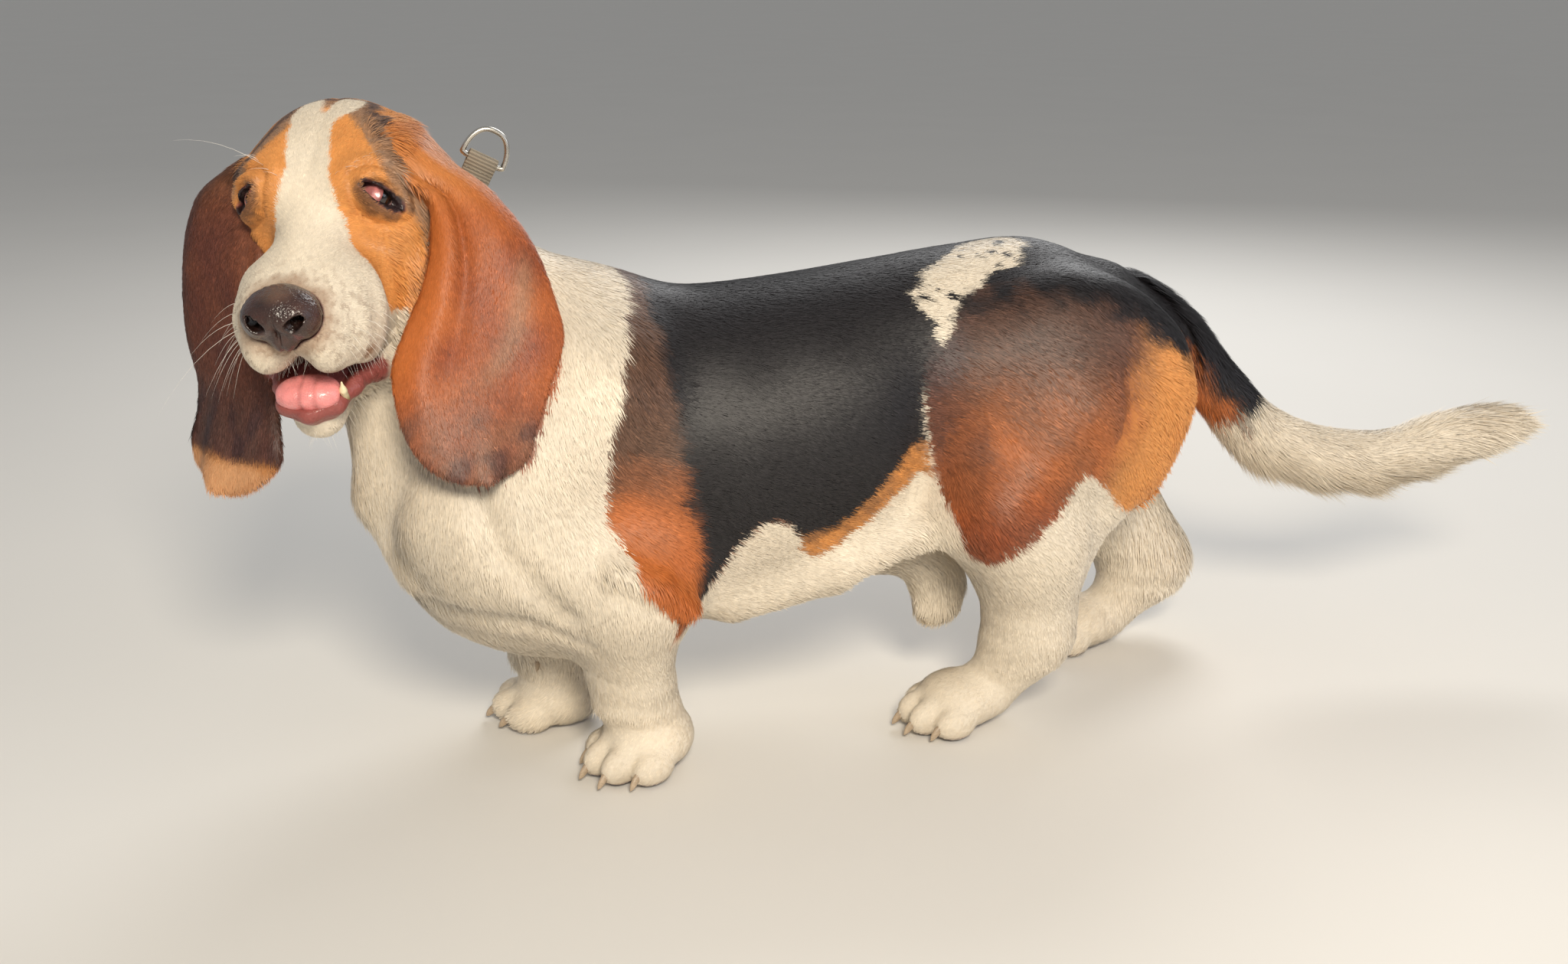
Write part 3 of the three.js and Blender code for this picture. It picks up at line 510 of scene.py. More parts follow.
def face_folds(q):
    """How far the skin of the face rises, from brows, lids, bags and the stop."""
    rise = np.zeros(len(q))
    for side in EYES:
        s = 1 if side == "left" else -1
        at = eye_place(side, q)
        ring = np.hypot(at[:, 0] / 1.3 - 1, at[:, 1] - 1)
        above = ease(-6, 6, at[:, 1])
        below = ease(4, -5, at[:, 1])
        near = ease(-24, 0, at[:, 2])
        # Folds and creases round the eye: height, distance from its middle and width
        for cover, height, away, width in (
            (above, 1.9, 13.5, 2.8), (above, -2.2, 9.4, 1.5), (above, -1.6, 18.5, 1.7),
            (above, 1.0, 22.5, 2.4), (below, 1.6, 9.0, 3.6), (below, -1.5, 16.0, 2.2),
        ):
            rise += near * cover * height * bell(ring - away, width)
        cheek = np.exp(-(((q[:, 1] * s - 46) / 9) ** 2 + ((q[:, 2] + 34) / 16) ** 2))
        rise += 1.2 * cheek * np.sin((q[:, 0] * 0.9 + q[:, 2] * 0.35) / 4.2)
    crease = bell(q[:, 1], 3.2) * ease(20, -10, q[:, 0]) * ease(10, 24, q[:, 2])
    rise -= 0.8 * crease
    groove = bell(q[:, 1], 1.8) * ease(94, 104, q[:, 0]) * ease(-26, -36, q[:, 2])
    rise -= 2.6 * groove
    return rise


def head_skin(q):
    """The head and lower jaw in the head's frame, with lids and lips, less the coat's depth."""
    upper = blend(SKULL(q) + 1.0, MUZZLE(q) + 1.0, 22)
    upper = blend(upper, FLEWS(q) + 1.0, 14)
    for side in EYES:
        ball = np.linalg.norm(q - EYES[side], axis=1) - LID_RADIUS
        upper = blend(upper, ball, 12)
    upper = upper - face_folds(q)
    for side in EYES:
        at = eye_place(side, q)
        reach = np.linalg.norm(at, axis=1)
        opening = np.maximum(slit(at), 2.0 - at[:, 2])
        upper = meet(upper, -opening, 1.6)
        upper = np.maximum(upper, EYE_RADIUS + 0.25 - reach)
    upper = meet(upper, -(NOSE_LEATHER(q) - 0.3), 2.0)
    # Small bumps along the wet lower lip, biggest at its corner
    bumps = 0.7 * waves(q, 3.6, 51) * ease(96, 60, q[:, 0])
    lower = blend(JAW(q) + 1.2, LOWER_LIP(q) - bumps, 8)
    lower = meet(lower, -TONGUE_BED(q), 4)
    whole = blend(upper, lower, 3)
    return meet(whole, -MOUTH_ROOM(q), 5)


# Ears: hanging sheets between a front and a rear edge, with the way that they hang outwards

EARS = {
    "left": dict(
        origin=(0, 0, 0), across=(1, 0, 0), outward=(0, -1, 0), bulge=8.0, bottom=251, top=462,
        front=[
            (251, -112), (256, -136), (266, -149), (281, -157), (301, -161), (322, -161),
            (346, -150), (370, -137), (397, -129), (425, -130), (440, -148), (470, -160),
        ],
        rear=[
            (251, -106), (255, -90), (264, -79), (278, -74), (309, -60), (332, -50),
            (350, -51), (391, -63), (427, -88), (452, -122), (470, -140),
        ],
        bend=[(250, 112), (300, 94), (350, 74), (400, 55), (430, 36), (455, 14), (476, -6)],
    ),
    "right": dict(
        origin=(-262, 6, 0), across=(0.6, -0.8, 0), outward=(-0.8, -0.6, 0), bulge=6.0, bottom=226,
        top=441,
        front=[
            (226, 4), (238, 38), (255, 54), (272, 52), (292, 48), (318, 43),
            (345, 43), (375, 41), (400, 37), (418, 30), (430, 20), (448, 14),
        ],
        rear=[
            (226, 0), (236, -36), (252, -46), (272, -39), (294, -35), (318, -40),
            (345, -41), (375, -40), (405, -39), (426, -34), (440, -20), (450, -12),
        ],
        bend=[
            (228, 12), (250, 6), (300, 2), (340, 2), (380, -2), (415, -14), (430, -28), (446, -50),
        ],
    ),
}
EAR_HALF = 3.3


def ear_edge(name, side, z):
    """An edge of the ear; the root of the height gives its lower end a round outline."""
    rows = EARS[name][side]
    bottom = EARS[name]["bottom"]
    rooted = [(math.sqrt(max(height - bottom, 0)), place) for height, place in rows]
    return station(rooted, np.sqrt(np.maximum(z - bottom, 0)), 1)


def ear_middle(name, u, z):
    arch = 1 - (2 * np.clip(u, -0.2, 1.2) - 1) ** 2
    return station(EARS[name]["bend"], z, 1) + EARS[name]["bulge"] * arch + ear_folds(name, u, z)


def ear_place(name, p):
    """Place across the ear (0 front, 1 rear), distance out of its middle sheet, past its edge."""
    ear = EARS[name]
    q = p - np.array(ear["origin"], float)
    s = q @ np.array(ear["across"], float)
    out = q @ np.array(ear["outward"], float)
    z = p[:, 2]
    front = ear_edge(name, "front", z)
    rear = ear_edge(name, "rear", z)
    width = rear - front
    width = np.where(np.abs(width) < 2, np.where(width < 0, -2, 2), width)
    u = (s - front) / width
    middle = ear_middle(name, u, z)
    lean = ear_middle(name, u, z + 1) - middle
    turn = (ear_middle(name, u + 0.01, z) - middle) / (0.01 * width)
    lift = (out - middle) / np.sqrt(1 + lean * lean + turn * turn)
    slant_front = ear_edge(name, "front", z + 1) - front
    slant_rear = ear_edge(name, "rear", z + 1) - rear
    way = np.sign(rear - front)
    past_front = (front - s) * way / np.sqrt(1 + np.minimum(slant_front ** 2, 4))
    past_rear = (s - rear) * way / np.sqrt(1 + np.minimum(slant_rear ** 2, 4))
    past = np.maximum(past_front, past_rear)
    past = np.maximum(past, ear["bottom"] - z)
    past = np.maximum(past, z - ear["top"])
    return u, lift, past


def ear_folds(name, u, z):
    """Long soft folds that run down the ear, and the rolled front edge."""
    low = ease(330, 260, z)
    fold = 2.0 * np.sin(6.5 * u + z / 46) * ease(0.05, 0.3, u) * ease(1.0, 0.75, u)
    fold += low * 2.2 * np.sin(11 * u + 0.9)
    if name == "left":
        roll = bell(u - 0.14, 0.09) * ease(270, 330, z) * ease(455, 420, z)
        dip = bell(u - 0.32, 0.08) * ease(290, 350, z) * ease(450, 410, z)
        return fold + 4.5 * roll - 3.0 * dip
    roll = bell(u - 0.1, 0.1) * ease(250, 300, z)
    return fold - 4.0 * roll


def ear_field(name):
    def field(p):
        u, lift, past = ear_place(name, p)
        arch = 1 - (2 * clamp01(u) - 1) ** 2
        half = EAR_HALF * (0.8 + 0.2 * arch) + 4 * ease(425, 465, p[:, 2])
        beyond = np.maximum(past + half, 0)
        return np.hypot(beyond, lift) - half
    return field


EAR_FIELDS = {name: ear_field(name) for name in EARS}


# The collar's plane, and where the skin is parted into its finely and coarsely netted zones

COLLAR_CENTRE = np.array((-131.0, 17.6, 361.0))
COLLAR_ARROW = unit(np.array((-0.7, 0.12, 0.7)))
COLLAR_WIDTH = 25.0
NAPE_POINT = np.array((-165.0, -9.0, 396.0))
NAPE_ARROW = unit(np.array((-0.66, -0.555, 0.51)))
PAW_TOP = 56.0
OVERLAP = 9.0
STEP_BACK = 0.25
FACE_BACK = -26.0


def collar_groove(p):
    along = (p - COLLAR_CENTRE) @ COLLAR_ARROW
    return 1.2 * bell(along, 15)


def neck_folds(p):
    """The dewlap's hanging folds at the throat and on the front of the chest."""
    x, y, z = p.T
    front = ease(-120, -165, x) * ease(180, 215, z) * ease(370, 330, z)
    fold = np.sin(y / 8.5 + np.sin(z / 31) * 1.3 + x / 60)
    return 2.8 * front * fold


# Loose skin: the flap behind the elbow, the fold from the belly to the knee, the heel cord
FLANK_FOLDS = join([
    cord([(70, -62, 122), (140, -74, 142), (200, -80, 168), (246, -82, 204)], 14, 12),
    cord([(90, 62, 122), (170, 74, 142), (250, 78, 168), (330, 78, 214)], 14, 12),
], 2)
ELBOW_FLAP = join([
    cord([(-28, -113, 181), (0, -119, 167), (22, -116, 149)], 9, 5),
    egg((-20, 110, 164), (30, 8, 14), -8, 18),
], 2)
HEEL_CORDS = join([
    limb((350, -66, 168), (322, -64, 86), 18, 13),
    limb((452, 62, 146), (492, 58, 82), 20, 15),
], 2)
BREAST_FOLD = join([
    cord([(-150, -20, 250), (-168, -10, 215), (-150, -40, 168)], 14, 8),
    cord([(-150, 20, 250), (-165, 14, 210), (-150, 44, 168)], 14, 8),
], 12)
# Creases before the shoulder and the elbow on both sides, and one on the near thigh
SHOULDER_LINE = join([
    cord([(-113, -100, 239), (-103, -108, 203), (-87, -107, 183), (-59, -103, 148)], 1, 3),
    cord([(-150, -50, 152), (-128, -75, 147), (-92, -89, 141), (-49, -96, 124)], 1, 3),
    cord([(-113, 100, 239), (-103, 108, 203), (-87, 107, 183), (-70, 103, 152)], 1, 3),
    cord([(357, -104, 284), (357, -106, 262), (350, -112, 238)], 1, 3),
], 2)


def flank_hollow(p):
    """The flank falls in before the thigh, and the skin folds in front of the shoulder."""
    x, y, z = p.T
    low = bell(z - 226, 62)
    left = bell(x - 206, 24) * (y < 0)
    right = bell(x - 262, 26) * (y > 0)
    hollow = 10.0 * low * (left + right) * ease(30, 70, np.abs(y))
    return hollow + 5.5 * bell(SHOULDER_LINE(p), 9)


def skin_wrinkles(p):
    """Wrinkles where loose skin gathers above the feet."""
    x, y, z = p.T
    low = ease(34, 46, z) * ease(100, 76, z)
    return 0.45 * low * np.sin(z / 3.6 + 0.8 * np.sin(x / 13) + 0.7 * np.sin(y / 9))


# Depth of the coat over the skin, by part
DEPTH = dict(trunk=4.0, neck=4.0, leg=3.0, paw=1.6)


def body_skin(p, near=False):
    """The body in the dog's frame, without head and ears, less the coat's depth.

    Near is for the neck and chest only, and leaves out what lies behind them.
    """
    body = trunk(p) + DEPTH["trunk"]
    body = blend(body, CHEST(p) + DEPTH["trunk"], 40)
    if not near:
        body = blend(body, RUMP(p) + DEPTH["trunk"], 30)
    body = blend(body, NECK(p) + DEPTH["neck"] + collar_groove(p), 46)
    for name in FORE:
        body = blend(body, LEG_FIELDS[name](p) + DEPTH["leg"], 34)
    if not near:
        for name in HIND:
            body = blend(body, LEG_FIELDS[name](p) + DEPTH["leg"], 30)
        body = blend(body, TAIL_FIELD(p), 30)
        body = blend(body, FLANK_FOLDS(p) + DEPTH["leg"], 30)
        body = blend(body, ELBOW_FLAP(p), 8)
        body = blend(body, HEEL_CORDS(p) + DEPTH["leg"], 24)
        for name in LEGS:
            body = blend(body, PAW_FIELDS[name](p) + DEPTH["paw"], 12)
        body = body + flank_hollow(p) - skin_wrinkles(p)
    body = blend(body, BREAST_FOLD(p) + DEPTH["trunk"], 22)
    return body - neck_folds(p)


LEG_FIELDS = {name: fore_leg(leg) for name, leg in FORE.items()}
LEG_FIELDS.update({name: hind_leg(leg) for name, leg in HIND.items()})
PAW_FIELDS = {name: paw(leg) for name, leg in LEGS.items()}


def past_nape(p):
    return (p - NAPE_POINT) @ NAPE_ARROW


def trunk_zone(p):
    body = blend(body_skin(p), head_skin(to_head(p)), 30)
    return np.maximum(np.maximum(body, past_nape(p)), PAW_TOP - OVERLAP - p[:, 2])


def head_zone(p):
    whole = blend(body_skin(p, near=True), head_skin(to_head(p)), 30)
    past = past_nape(p)
    hidden = (past < 0) | (to_head(p)[:, 0] > FACE_BACK)
    whole = np.maximum(whole + STEP_BACK * hidden, -past - OVERLAP)
    for ear in EAR_FIELDS.values():
        rooted = 0.5 + 20 * ease(405, 440, p[:, 2])
        whole = blend(whole, ear(p), rooted)
    return whole


def face_zone(p):
    """The face alone, netted more finely for its lids and lips."""
    q = to_head(p)
    return np.maximum(head_skin(q), FACE_BACK - q[:, 0])


def paw_zone(p):
    body = body_skin(p) + STEP_BACK * (p[:, 2] > PAW_TOP - OVERLAP)
    return np.maximum(np.maximum(body, p[:, 2] - PAW_TOP), 0.4 - p[:, 2])


# Netting: one point in each cell that the surface crosses, one quad across each crossed edge

BLOCK = 4
CHUNK = 200000


def in_chunks(field, p):
    parts = [field(p[i:i + CHUNK]) for i in range(0, len(p), CHUNK)]
    return np.concatenate(parts) if parts else np.zeros(0)


def corner_values(field, low, cell, count):
    """The field at the corners of a grid: exact near the surface, only its sign elsewhere."""
    blocks = count // BLOCK
    index = np.stack(np.meshgrid(*[np.arange(n) for n in blocks], indexing="ij"), -1).reshape(-1, 3)
    middle = low + (index + 0.5) * BLOCK * cell
    at_block = in_chunks(field, middle).reshape(blocks)
    near = np.abs(at_block) < BLOCK * cell * 1.3
    value = np.where(at_block < 0, -cell, cell)
    for axis in range(3):
        near = np.repeat(near, BLOCK, axis)
        value = np.repeat(value, BLOCK, axis)
    near = np.pad(near, 1)
    value = np.pad(value, ((0, 1),) * 3, mode="edge")
    touched = np.zeros(value.shape, bool)
    for i in range(2):
        for j in range(2):
            for k in range(2):
                touched |= near[i:i + value.shape[0], j:j + value.shape[1], k:k + value.shape[2]]
    spots = np.argwhere(touched)
    value[touched] = in_chunks(field, low + spots * cell)
    for axis in range(3):
        edge = np.moveaxis(value, axis, 0)
        edge[0] = np.abs(edge[0]) + 1e-3
        edge[-1] = np.abs(edge[-1]) + 1e-3
    return value


def net(field, low, high, cell):
    low = np.array(low, float)
    count = np.ceil((np.array(high) - low) / cell / BLOCK).astype(int) * BLOCK
    value = corner_values(field, low, cell, count)
    total = np.zeros((int(count.prod()), 3))
    crossed = np.zeros(int(count.prod()))
    quads = []
    stride = np.array((count[1] * count[2], count[2], 1))
    for axis in range(3):
        a = np.take(value, np.arange(count[axis]), axis)
        b = np.take(value, np.arange(1, count[axis] + 1), axis)
        spots = np.argwhere((a < 0) != (b < 0))
        va = a[tuple(spots.T)]
        vb = b[tuple(spots.T)]
        point = spots.astype(float)
        point[:, axis] += va / (va - vb)
        j = (axis + 1) % 3
        k = (axis + 2) % 3
        corners = []
        for dj, dk in ((1, 1), (0, 1), (0, 0), (1, 0)):
            cell_at = spots.copy()
            cell_at[:, j] -= dj
            cell_at[:, k] -= dk
            corners.append(cell_at @ stride)
        for flat in corners:
            for c in range(3):
                total[:, c] += np.bincount(flat, point[:, c], len(total))
            crossed += np.bincount(flat, minlength=len(total))
        quad = np.stack(corners, 1)
        quad[va >= 0] = quad[va >= 0][:, ::-1]
        quads.append(quad)
    used = np.flatnonzero(crossed)
    number = np.full(len(total), -1)
    number[used] = np.arange(len(used))
    points = low + total[used] / crossed[used, None] * cell
    return pull(field, points, cell), number[np.concatenate(quads)]


def slope_of(field, p, step=0.4):
    here = in_chunks(field, p)
    ways = [in_chunks(field, p + step * np.eye(3)[c]) - here for c in range(3)]
    return here, np.stack(ways, 1) / step


def pull(field, points, cell):
    for _ in range(2):
        here, slope = slope_of(field, points)
        size = np.maximum((slope * slope).sum(1), 0.2)
        move = np.clip(-here / size, -cell / 3, cell / 3)
        points = points + slope * move[:, None]
    return points


# Markings: borders are read as curves of place against height or length, with a ragged edge

# Front border of the brown band and of the black saddle: height and place along the body
BROWN_FRONT = [
    (118, 16), (137, 18), (160, -2), (180, -15), (206, -27), (223, -31), (249, -30), (276, -24),
    (315, -12), (330, -9), (347, -4), (364, -2),
]
BLACK_FRONT = [
    (118, 26), (137, 29), (159, 34), (182, 30), (224, 23), (270, 19), (303, 16), (336, 11),
    (357, 12),
]
# Lower border of the dark coat and top of the tan streak: place along the body and height
DARK_BELOW = [
    (10, 112), (29, 137), (53, 172), (77, 198), (99, 193), (111, 172), (121, 164), (134, 171),
    (166, 193), (198, 214), (240, 214),
]
STREAK_TOP = [(100, 176), (105, 183), (132, 185), (164, 212), (191, 238), (215, 240)]
# The near thigh: its front edge, its black above and its white below
THIGH_FRONT = [(150, 232), (164, 228), (200, 219), (215, 214), (272, 202), (300, 204)]
THIGH_BLACK = [
    (200, 262), (206, 301), (219, 320), (241, 334), (282, 343), (329, 338), (366, 324), (385, 306),
    (410, 292),
]
THIGH_WHITE = [
    (220, 166), (251, 156), (274, 173), (295, 187), (316, 214), (340, 200), (372, 172), (400, 168),
]
# Rump patch seen from above
RUMP_PATCH = [
    (205, -47), (209, -62), (216, -76), (226, -70), (238, -58), (269, -45), (289, -44),
    (311, -10), (300, 6), (270, 4), (236, -21), (218, -34),
]
FAR_SHIFT = 58.0


def shade(name):
    """A named colour, or one that is given as hex text."""
    if name.startswith("#"):
        return np.array(linear(name))
    return np.array(getattr(bpy.context.scene.hound_colours, name))


def plain(name, p):
    """One colour for every place."""
    return np.repeat(shade(name)[None], len(p), 0)


def layer(base, colour, cover):
    """A colour, or a named one, laid over a base by its cover from 0 to 1."""
    if isinstance(colour, str):
        colour = shade(colour)
    return base + (colour - base) * clamp01(cover)[:, None]


def inside_patch(outline, x, y):
    """Signed distance to an outline seen in a plane, negative inside."""
    corners = np.array(outline, float)
    best = np.full(len(x), 1e9)
    inside = np.zeros(len(x), bool)
    p = np.stack([x, y], 1)
    for a, b in zip(corners, np.roll(corners, -1, 0)):
        edge = b - a
        t = clamp01((p - a) @ edge / (edge @ edge))
        best = np.minimum(best, np.linalg.norm(p - a - t[:, None] * edge, axis=1))
        crosses = (a[1] > y) != (b[1] > y)
        at = a[0] + (y - a[1]) / (edge[1] if abs(edge[1]) > 1e-9 else 1e-9) * edge[0]
        inside ^= crosses & (x < at)
    return np.where(inside, -best, best)


def ragged(p, size=1.0):
    """Uneven edge of a marking, in millimetres: swells and single locks of hair."""
    return size * (1.8 * waves(p, 14, 5) + 0.9 * waves(p, 4.5, 6))


def body_marks(p):
    x, y, z = p.T
    rag = ragged(p)
    far = y > 6
    colour = plain("white", p)
    colour = colour * (1 + 0.05 * waves(p, 34, 8))[:, None]
    past_brown = x - station(BROWN_FRONT, z, 1) + rag
    past_black = x - station(BLACK_FRONT, z, 1) + rag * 1.4
    thigh = x - station(THIGH_FRONT, z, 1) - np.where(far, FAR_SHIFT, 0)
    above = z - station(DARK_BELOW, x, 1) + rag
    on_trunk = ease(2, -3, thigh)
    dark = ease(-1.5, 1.5, past_brown) * ease(-2, 2, np.minimum(above, 60))
    warm = ease(262, 188, z + 10 * waves(p, 26, 9))
    brown = layer(plain("grizzle", p), "orange", warm)
    side = layer(colour, brown, dark)
    side = layer(side, "black", dark * ease(-6, 8, past_black))
    streak = ease(3, -3, z - station(STREAK_TOP, x, 1) + rag) * ease(100, 106, x)
    side = layer(side, "tan", dark * streak)
    # Grizzle blotches dull the tan streak: partly grizzled hair, partly painted shade.
    side = layer(side, "grizzle", dark * streak * (0.3 + 0.25 * waves(p, 7, 37)))
    # Thigh: black over the croup, grizzled brown, redder below and orange to the rear
    tx = x - np.where(far, FAR_SHIFT, 0)
    leg = plain("orange", p)
    leg = layer(leg, "tan", ease(345, 380, tx) + ease(322, 358, tx) * ease(255, 205, z))
    upper = ease(225, 318, z + 5 * waves(p, 30, 10)) * ease(396, 345, tx)
    leg = layer(leg, "grizzle", upper * 0.95)
    leg = layer(leg, "mahogany", ease(235, 175, z) * ease(350, 290, tx) * 0.9)
    leg = layer(leg, "grizzle", ease(380, 330, tx) * (0.3 + 0.16 * waves(p, 22, 11)))
    leg = layer(leg, "band", 0.7 * ease(50, 12, thigh + 6 * waves(p, 16, 36)) * ease(192, 240, z))
    leg = layer(leg, "band", 0.35 * ease(258, 312, z) * ease(392, 350, tx))
    top = z - station(THIGH_BLACK, np.clip(tx, 200, 410), 1) + rag * 3
    leg = layer(leg, "black", ease(-16, 8, top))
    low = station(THIGH_WHITE, tx, 1) - z - rag * 1.2
    low = np.where(far, 158 - z - rag, low)
    leg = layer(leg, "white", ease(-2, 2, low))
    stripe = np.abs(np.abs(y) - 66 + 0.12 * (z - 220)) - 5
    stripe = np.maximum(stripe, 372 - tx)
    leg = layer(leg, "white", ease(2, -2, stripe + rag * 0.6) * ease(300, 270, z) * (1 - far))
    leg = layer(leg, "white", ease(3.2, 0.5, np.abs(thigh)) * ease(290, 262, z) * (1 - far))
    colour = leg + (side - leg) * on_trunk[:, None]
    patch = inside_patch(RUMP_PATCH, x, y) + rag * 0.9
    spots = ease(0.85, 1.05, waves(p, 6.5, 12))
    colour = layer(colour, "white", ease(2, -2, patch) * ease(280, 300, z) * (1 - spots))
    # Belly, inner legs and the underside stay white
    under = ease(150, 120, z) * ease(190, 230, x) + ease(46, 30, np.abs(y)) * ease(210, 180, z)
    return layer(colour, "white", under * ease(-60, 40, x))


def tail_marks(p):
    rag = ragged(p)
    t = tail_place(p)
    middle, radius = tail_station(t)
    height = (p[:, 2] - middle[:, 2]) / np.maximum(radius, 4)
    colour = plain("black", p)
    colour = layer(colour, "orange", ease(0.05, -0.4, height + 0.1 * waves(p, 12, 13)))
    white = ease(2.35, 2.6, t - 0.35 * height + 0.06 * rag)
    return layer(colour, "white", white)


def tail_place(p):
    """How many joints along the tail each place is."""
    steps = np.linspace(0, len(TAIL) - 1, 57)
    middle, _ = tail_station(steps)
    apart = np.linalg.norm(p[:, None, :] - middle[None], axis=2)
    return steps[np.argmin(apart, axis=1)]


# The blaze's edges: place along the head and how far to the side
BLAZE_LEFT = [
    (-80, 20), (-66, 19), (-45, 9), (-15, 11), (12, 17), (26, 26), (38, 38), (46, 54), (52, 80),
]
BLAZE_RIGHT = [
    (-80, -20), (-60, -22), (-32, -19), (-3, -15), (14, -18), (28, -26), (40, -46), (50, -80),
]
# Outer edge of the tan, over the brow and cheek: height across the face and how far to the side
TAN_EDGE = [
    (-90, 62), (-66, 64), (-36, 66), (-12, 60), (16, 49), (37, 34), (50, 24), (62, 15), (72, 12),
]


def head_marks(q, p):
    x, y, z = q.T
    rag = ragged(p, 0.5)
    colour = plain("tan", q)
    colour = colour * (1 + 0.10 * waves(p, 16, 14))[:, None]
    # Darker round the eyes and on the brow
    for side in EYES:
        at = eye_place(side, q)
        ring = np.hypot(at[:, 0] / 1.5, at[:, 1] + 1)
        colour = layer(colour, "band", 0.7 * ease(14, 8, ring + 1.5 * waves(p, 6, 15)))
    # The ash band down the side of the skull, its grey partly painted sheen of the hair, a dark
    # line behind it, then red-brown
    tall = 0.743 * z - 0.669 * x
    over = np.abs(y) - station(TAN_EDGE, tall, 1) + 1.2 * waves(p, 12, 16)
    over = np.maximum(over, (-66 - x) * 0.8)
    colour = layer(colour, "ash", ease(-3, 2, over) * (0.9 + 0.1 * waves(p, 5, 26)))
    colour = layer(colour, "band", 0.8 * bell(over - 14 - waves(p, 9, 27), 4.5))
    colour = layer(colour, "tan", 0.9 * ease(16, 22, over + 2 * waves(p, 9, 27)))
    colour = layer(colour, "orange", 0.8 * ease(28, 52, over))
    edge = np.maximum(y - station(BLAZE_LEFT, x, 1), station(BLAZE_RIGHT, x, 1) - y)
    notch = ease(2, -2, np.abs(y + 1) - 2.5 - 0.2 * (-62 - x) + rag) * ease(-54, -62, x)
    blaze = ease(1.2, -1.2, edge + rag) * ease(-88, -80, x + rag) * (1 - notch)
    colour = layer(colour, "white", blaze)
    # White flews and chin, with tan speckles towards the nose
    low = -56 - z + 0.35 * (x - 40) + rag
    colour = layer(colour, "white", ease(-2, 2, low) * ease(-30, 0, x))
    colour = layer(colour, "white", ease(-66, -74, z + rag))
    speckle = ease(0.2, 1.0, waves(p, 2.6, 17)) * ease(46, 88, x) * ease(34, 5, np.abs(z + 20) - 14)
    colour = layer(colour, "ticking", 0.45 * speckle)
    near_nose = ease(15, 2, NOSE_LEATHER(q) + 2 * waves(p, 7, 30))
    colour = layer(colour, "ash", 0.7 * near_nose)
    above_lip = ease(-46, -58, z) * ease(60, 80, x) * ease(-76, -66, z)
    return layer(colour, "ash", 0.4 * above_lip * (1 + waves(p, 6, 28)))


def ear_marks(name, p):
    u, lift, _ = ear_place(name, p)
    z = p[:, 2]
    colour = plain("mahogany", p)
    warm = 0.6 + 0.4 * waves(p, 24, 18)
    colour = layer(colour, "orange", 0.6 * warm * ease(250, 320, z))
    colour = layer(colour, "orange", 0.9 * ease(0.32, 0.05, u) * ease(290, 330, z))
    colour = layer(colour, "orange", 0.6 * ease(388, 420, z))
    colour = layer(colour, "tan", 0.5 * ease(412, 446, z))
    low = ease(322, 268, z + 8 * waves(p, 30, 29))
    colour = layer(colour, "ash", 0.45 * low * (0.8 + 0.2 * waves(p, 10, 19)))
    colour = layer(colour, "band", low * (0.2 + 0.45 * ease(-0.1, 0.9, waves(p, 11, 19))))
    colour = layer(colour, "band", 0.7 * ease(0.16, 0.0, u) * ease(415, 440, z))
    if name == "left":
        # A painted sheen: a pale stripe where the hair of the fold catches the light
        stripe = bell(u - 0.62 - 0.0036 * (z - 326), 0.09)
        stripe = stripe * ease(300, 326, z) * ease(400, 376, z)
        colour = layer(colour, "ash", 0.55 * stripe)
    else:
        # Painted shade: the far ear is darkened where the head shades it, and its lower edge is
        # painted as a sunlit tan band.
        colour = layer(colour, "band", 0.7 * ease(232, 262, z))
        colour = layer(colour, "tan", 0.9 * ease(256, 246, z + 2 * waves(p, 12, 20)))
        colour = layer(colour, "white", 0.2 * ease(254, 244, z))
    # The inner side has thin hair over pink skin
    inner = ease(-0.6, -2.2, lift) * ease(440, 410, z)
    return layer(colour, "pink", 0.30 * inner)


def marks(p):
    """Colour of skin and coat at each place in the dog's frame."""
    q = to_head(p)
    head = head_skin(q)
    near = {name: field(p) for name, field in EAR_FIELDS.items()}
    tail = TAIL_FIELD(p)
    colour = body_marks(p)
    on_tail = (tail < 14) & (p[:, 0] > 400)
    if on_tail.any():
        blend_in = ease(408, 440, p[on_tail][:, 0])[:, None]
        colour[on_tail] += (tail_marks(p[on_tail]) - colour[on_tail]) * blend_in
    on_head = head < 26
    if on_head.any():
        face = head_marks(q[on_head], p[on_head])
        nape = -94 - q[on_head][:, 0] + 0.45 * (-30 - q[on_head][:, 2]) + ragged(p[on_head])
        cover = (ease(26, 8, head[on_head]) > 0.5) * ease(3, -3, nape)
        colour[on_head] += (face - colour[on_head]) * cover[:, None]
    for name, distance in near.items():
        on_ear = distance < 3 + 5 * ease(415, 440, p[:, 2])
        on_ear &= distance < head + 2
        if on_ear.any():
            colour[on_ear] = ear_marks(name, p[on_ear])
    return np.clip(colour, 0, 1)


def bare_skin(p):
    """Where the skin shows without hair: lid rims, lips, inside of the mouth, foot pads."""
    q = to_head(p)
    bare = np.zeros(len(p))
    for side in EYES:
        at = eye_place(side, q)
        bare = np.maximum(bare, ease(2.6, 1.0, slit(at)) * (at[:, 2] > 2))
    lips = np.minimum(LOWER_LIP(q) - 1.5, MOUTH_ROOM(q) - 2.5)
    bare = np.maximum(bare, ease(2.0, 0.3, lips))
    bare = np.maximum(bare, ease(2.2, 0.8, NOSE_LEATHER(q)))
    pads = ease(5, 2, p[:, 2])
    return np.maximum(bare, pads)


# The lie of the coat: each part has its own way, and they fade into each other

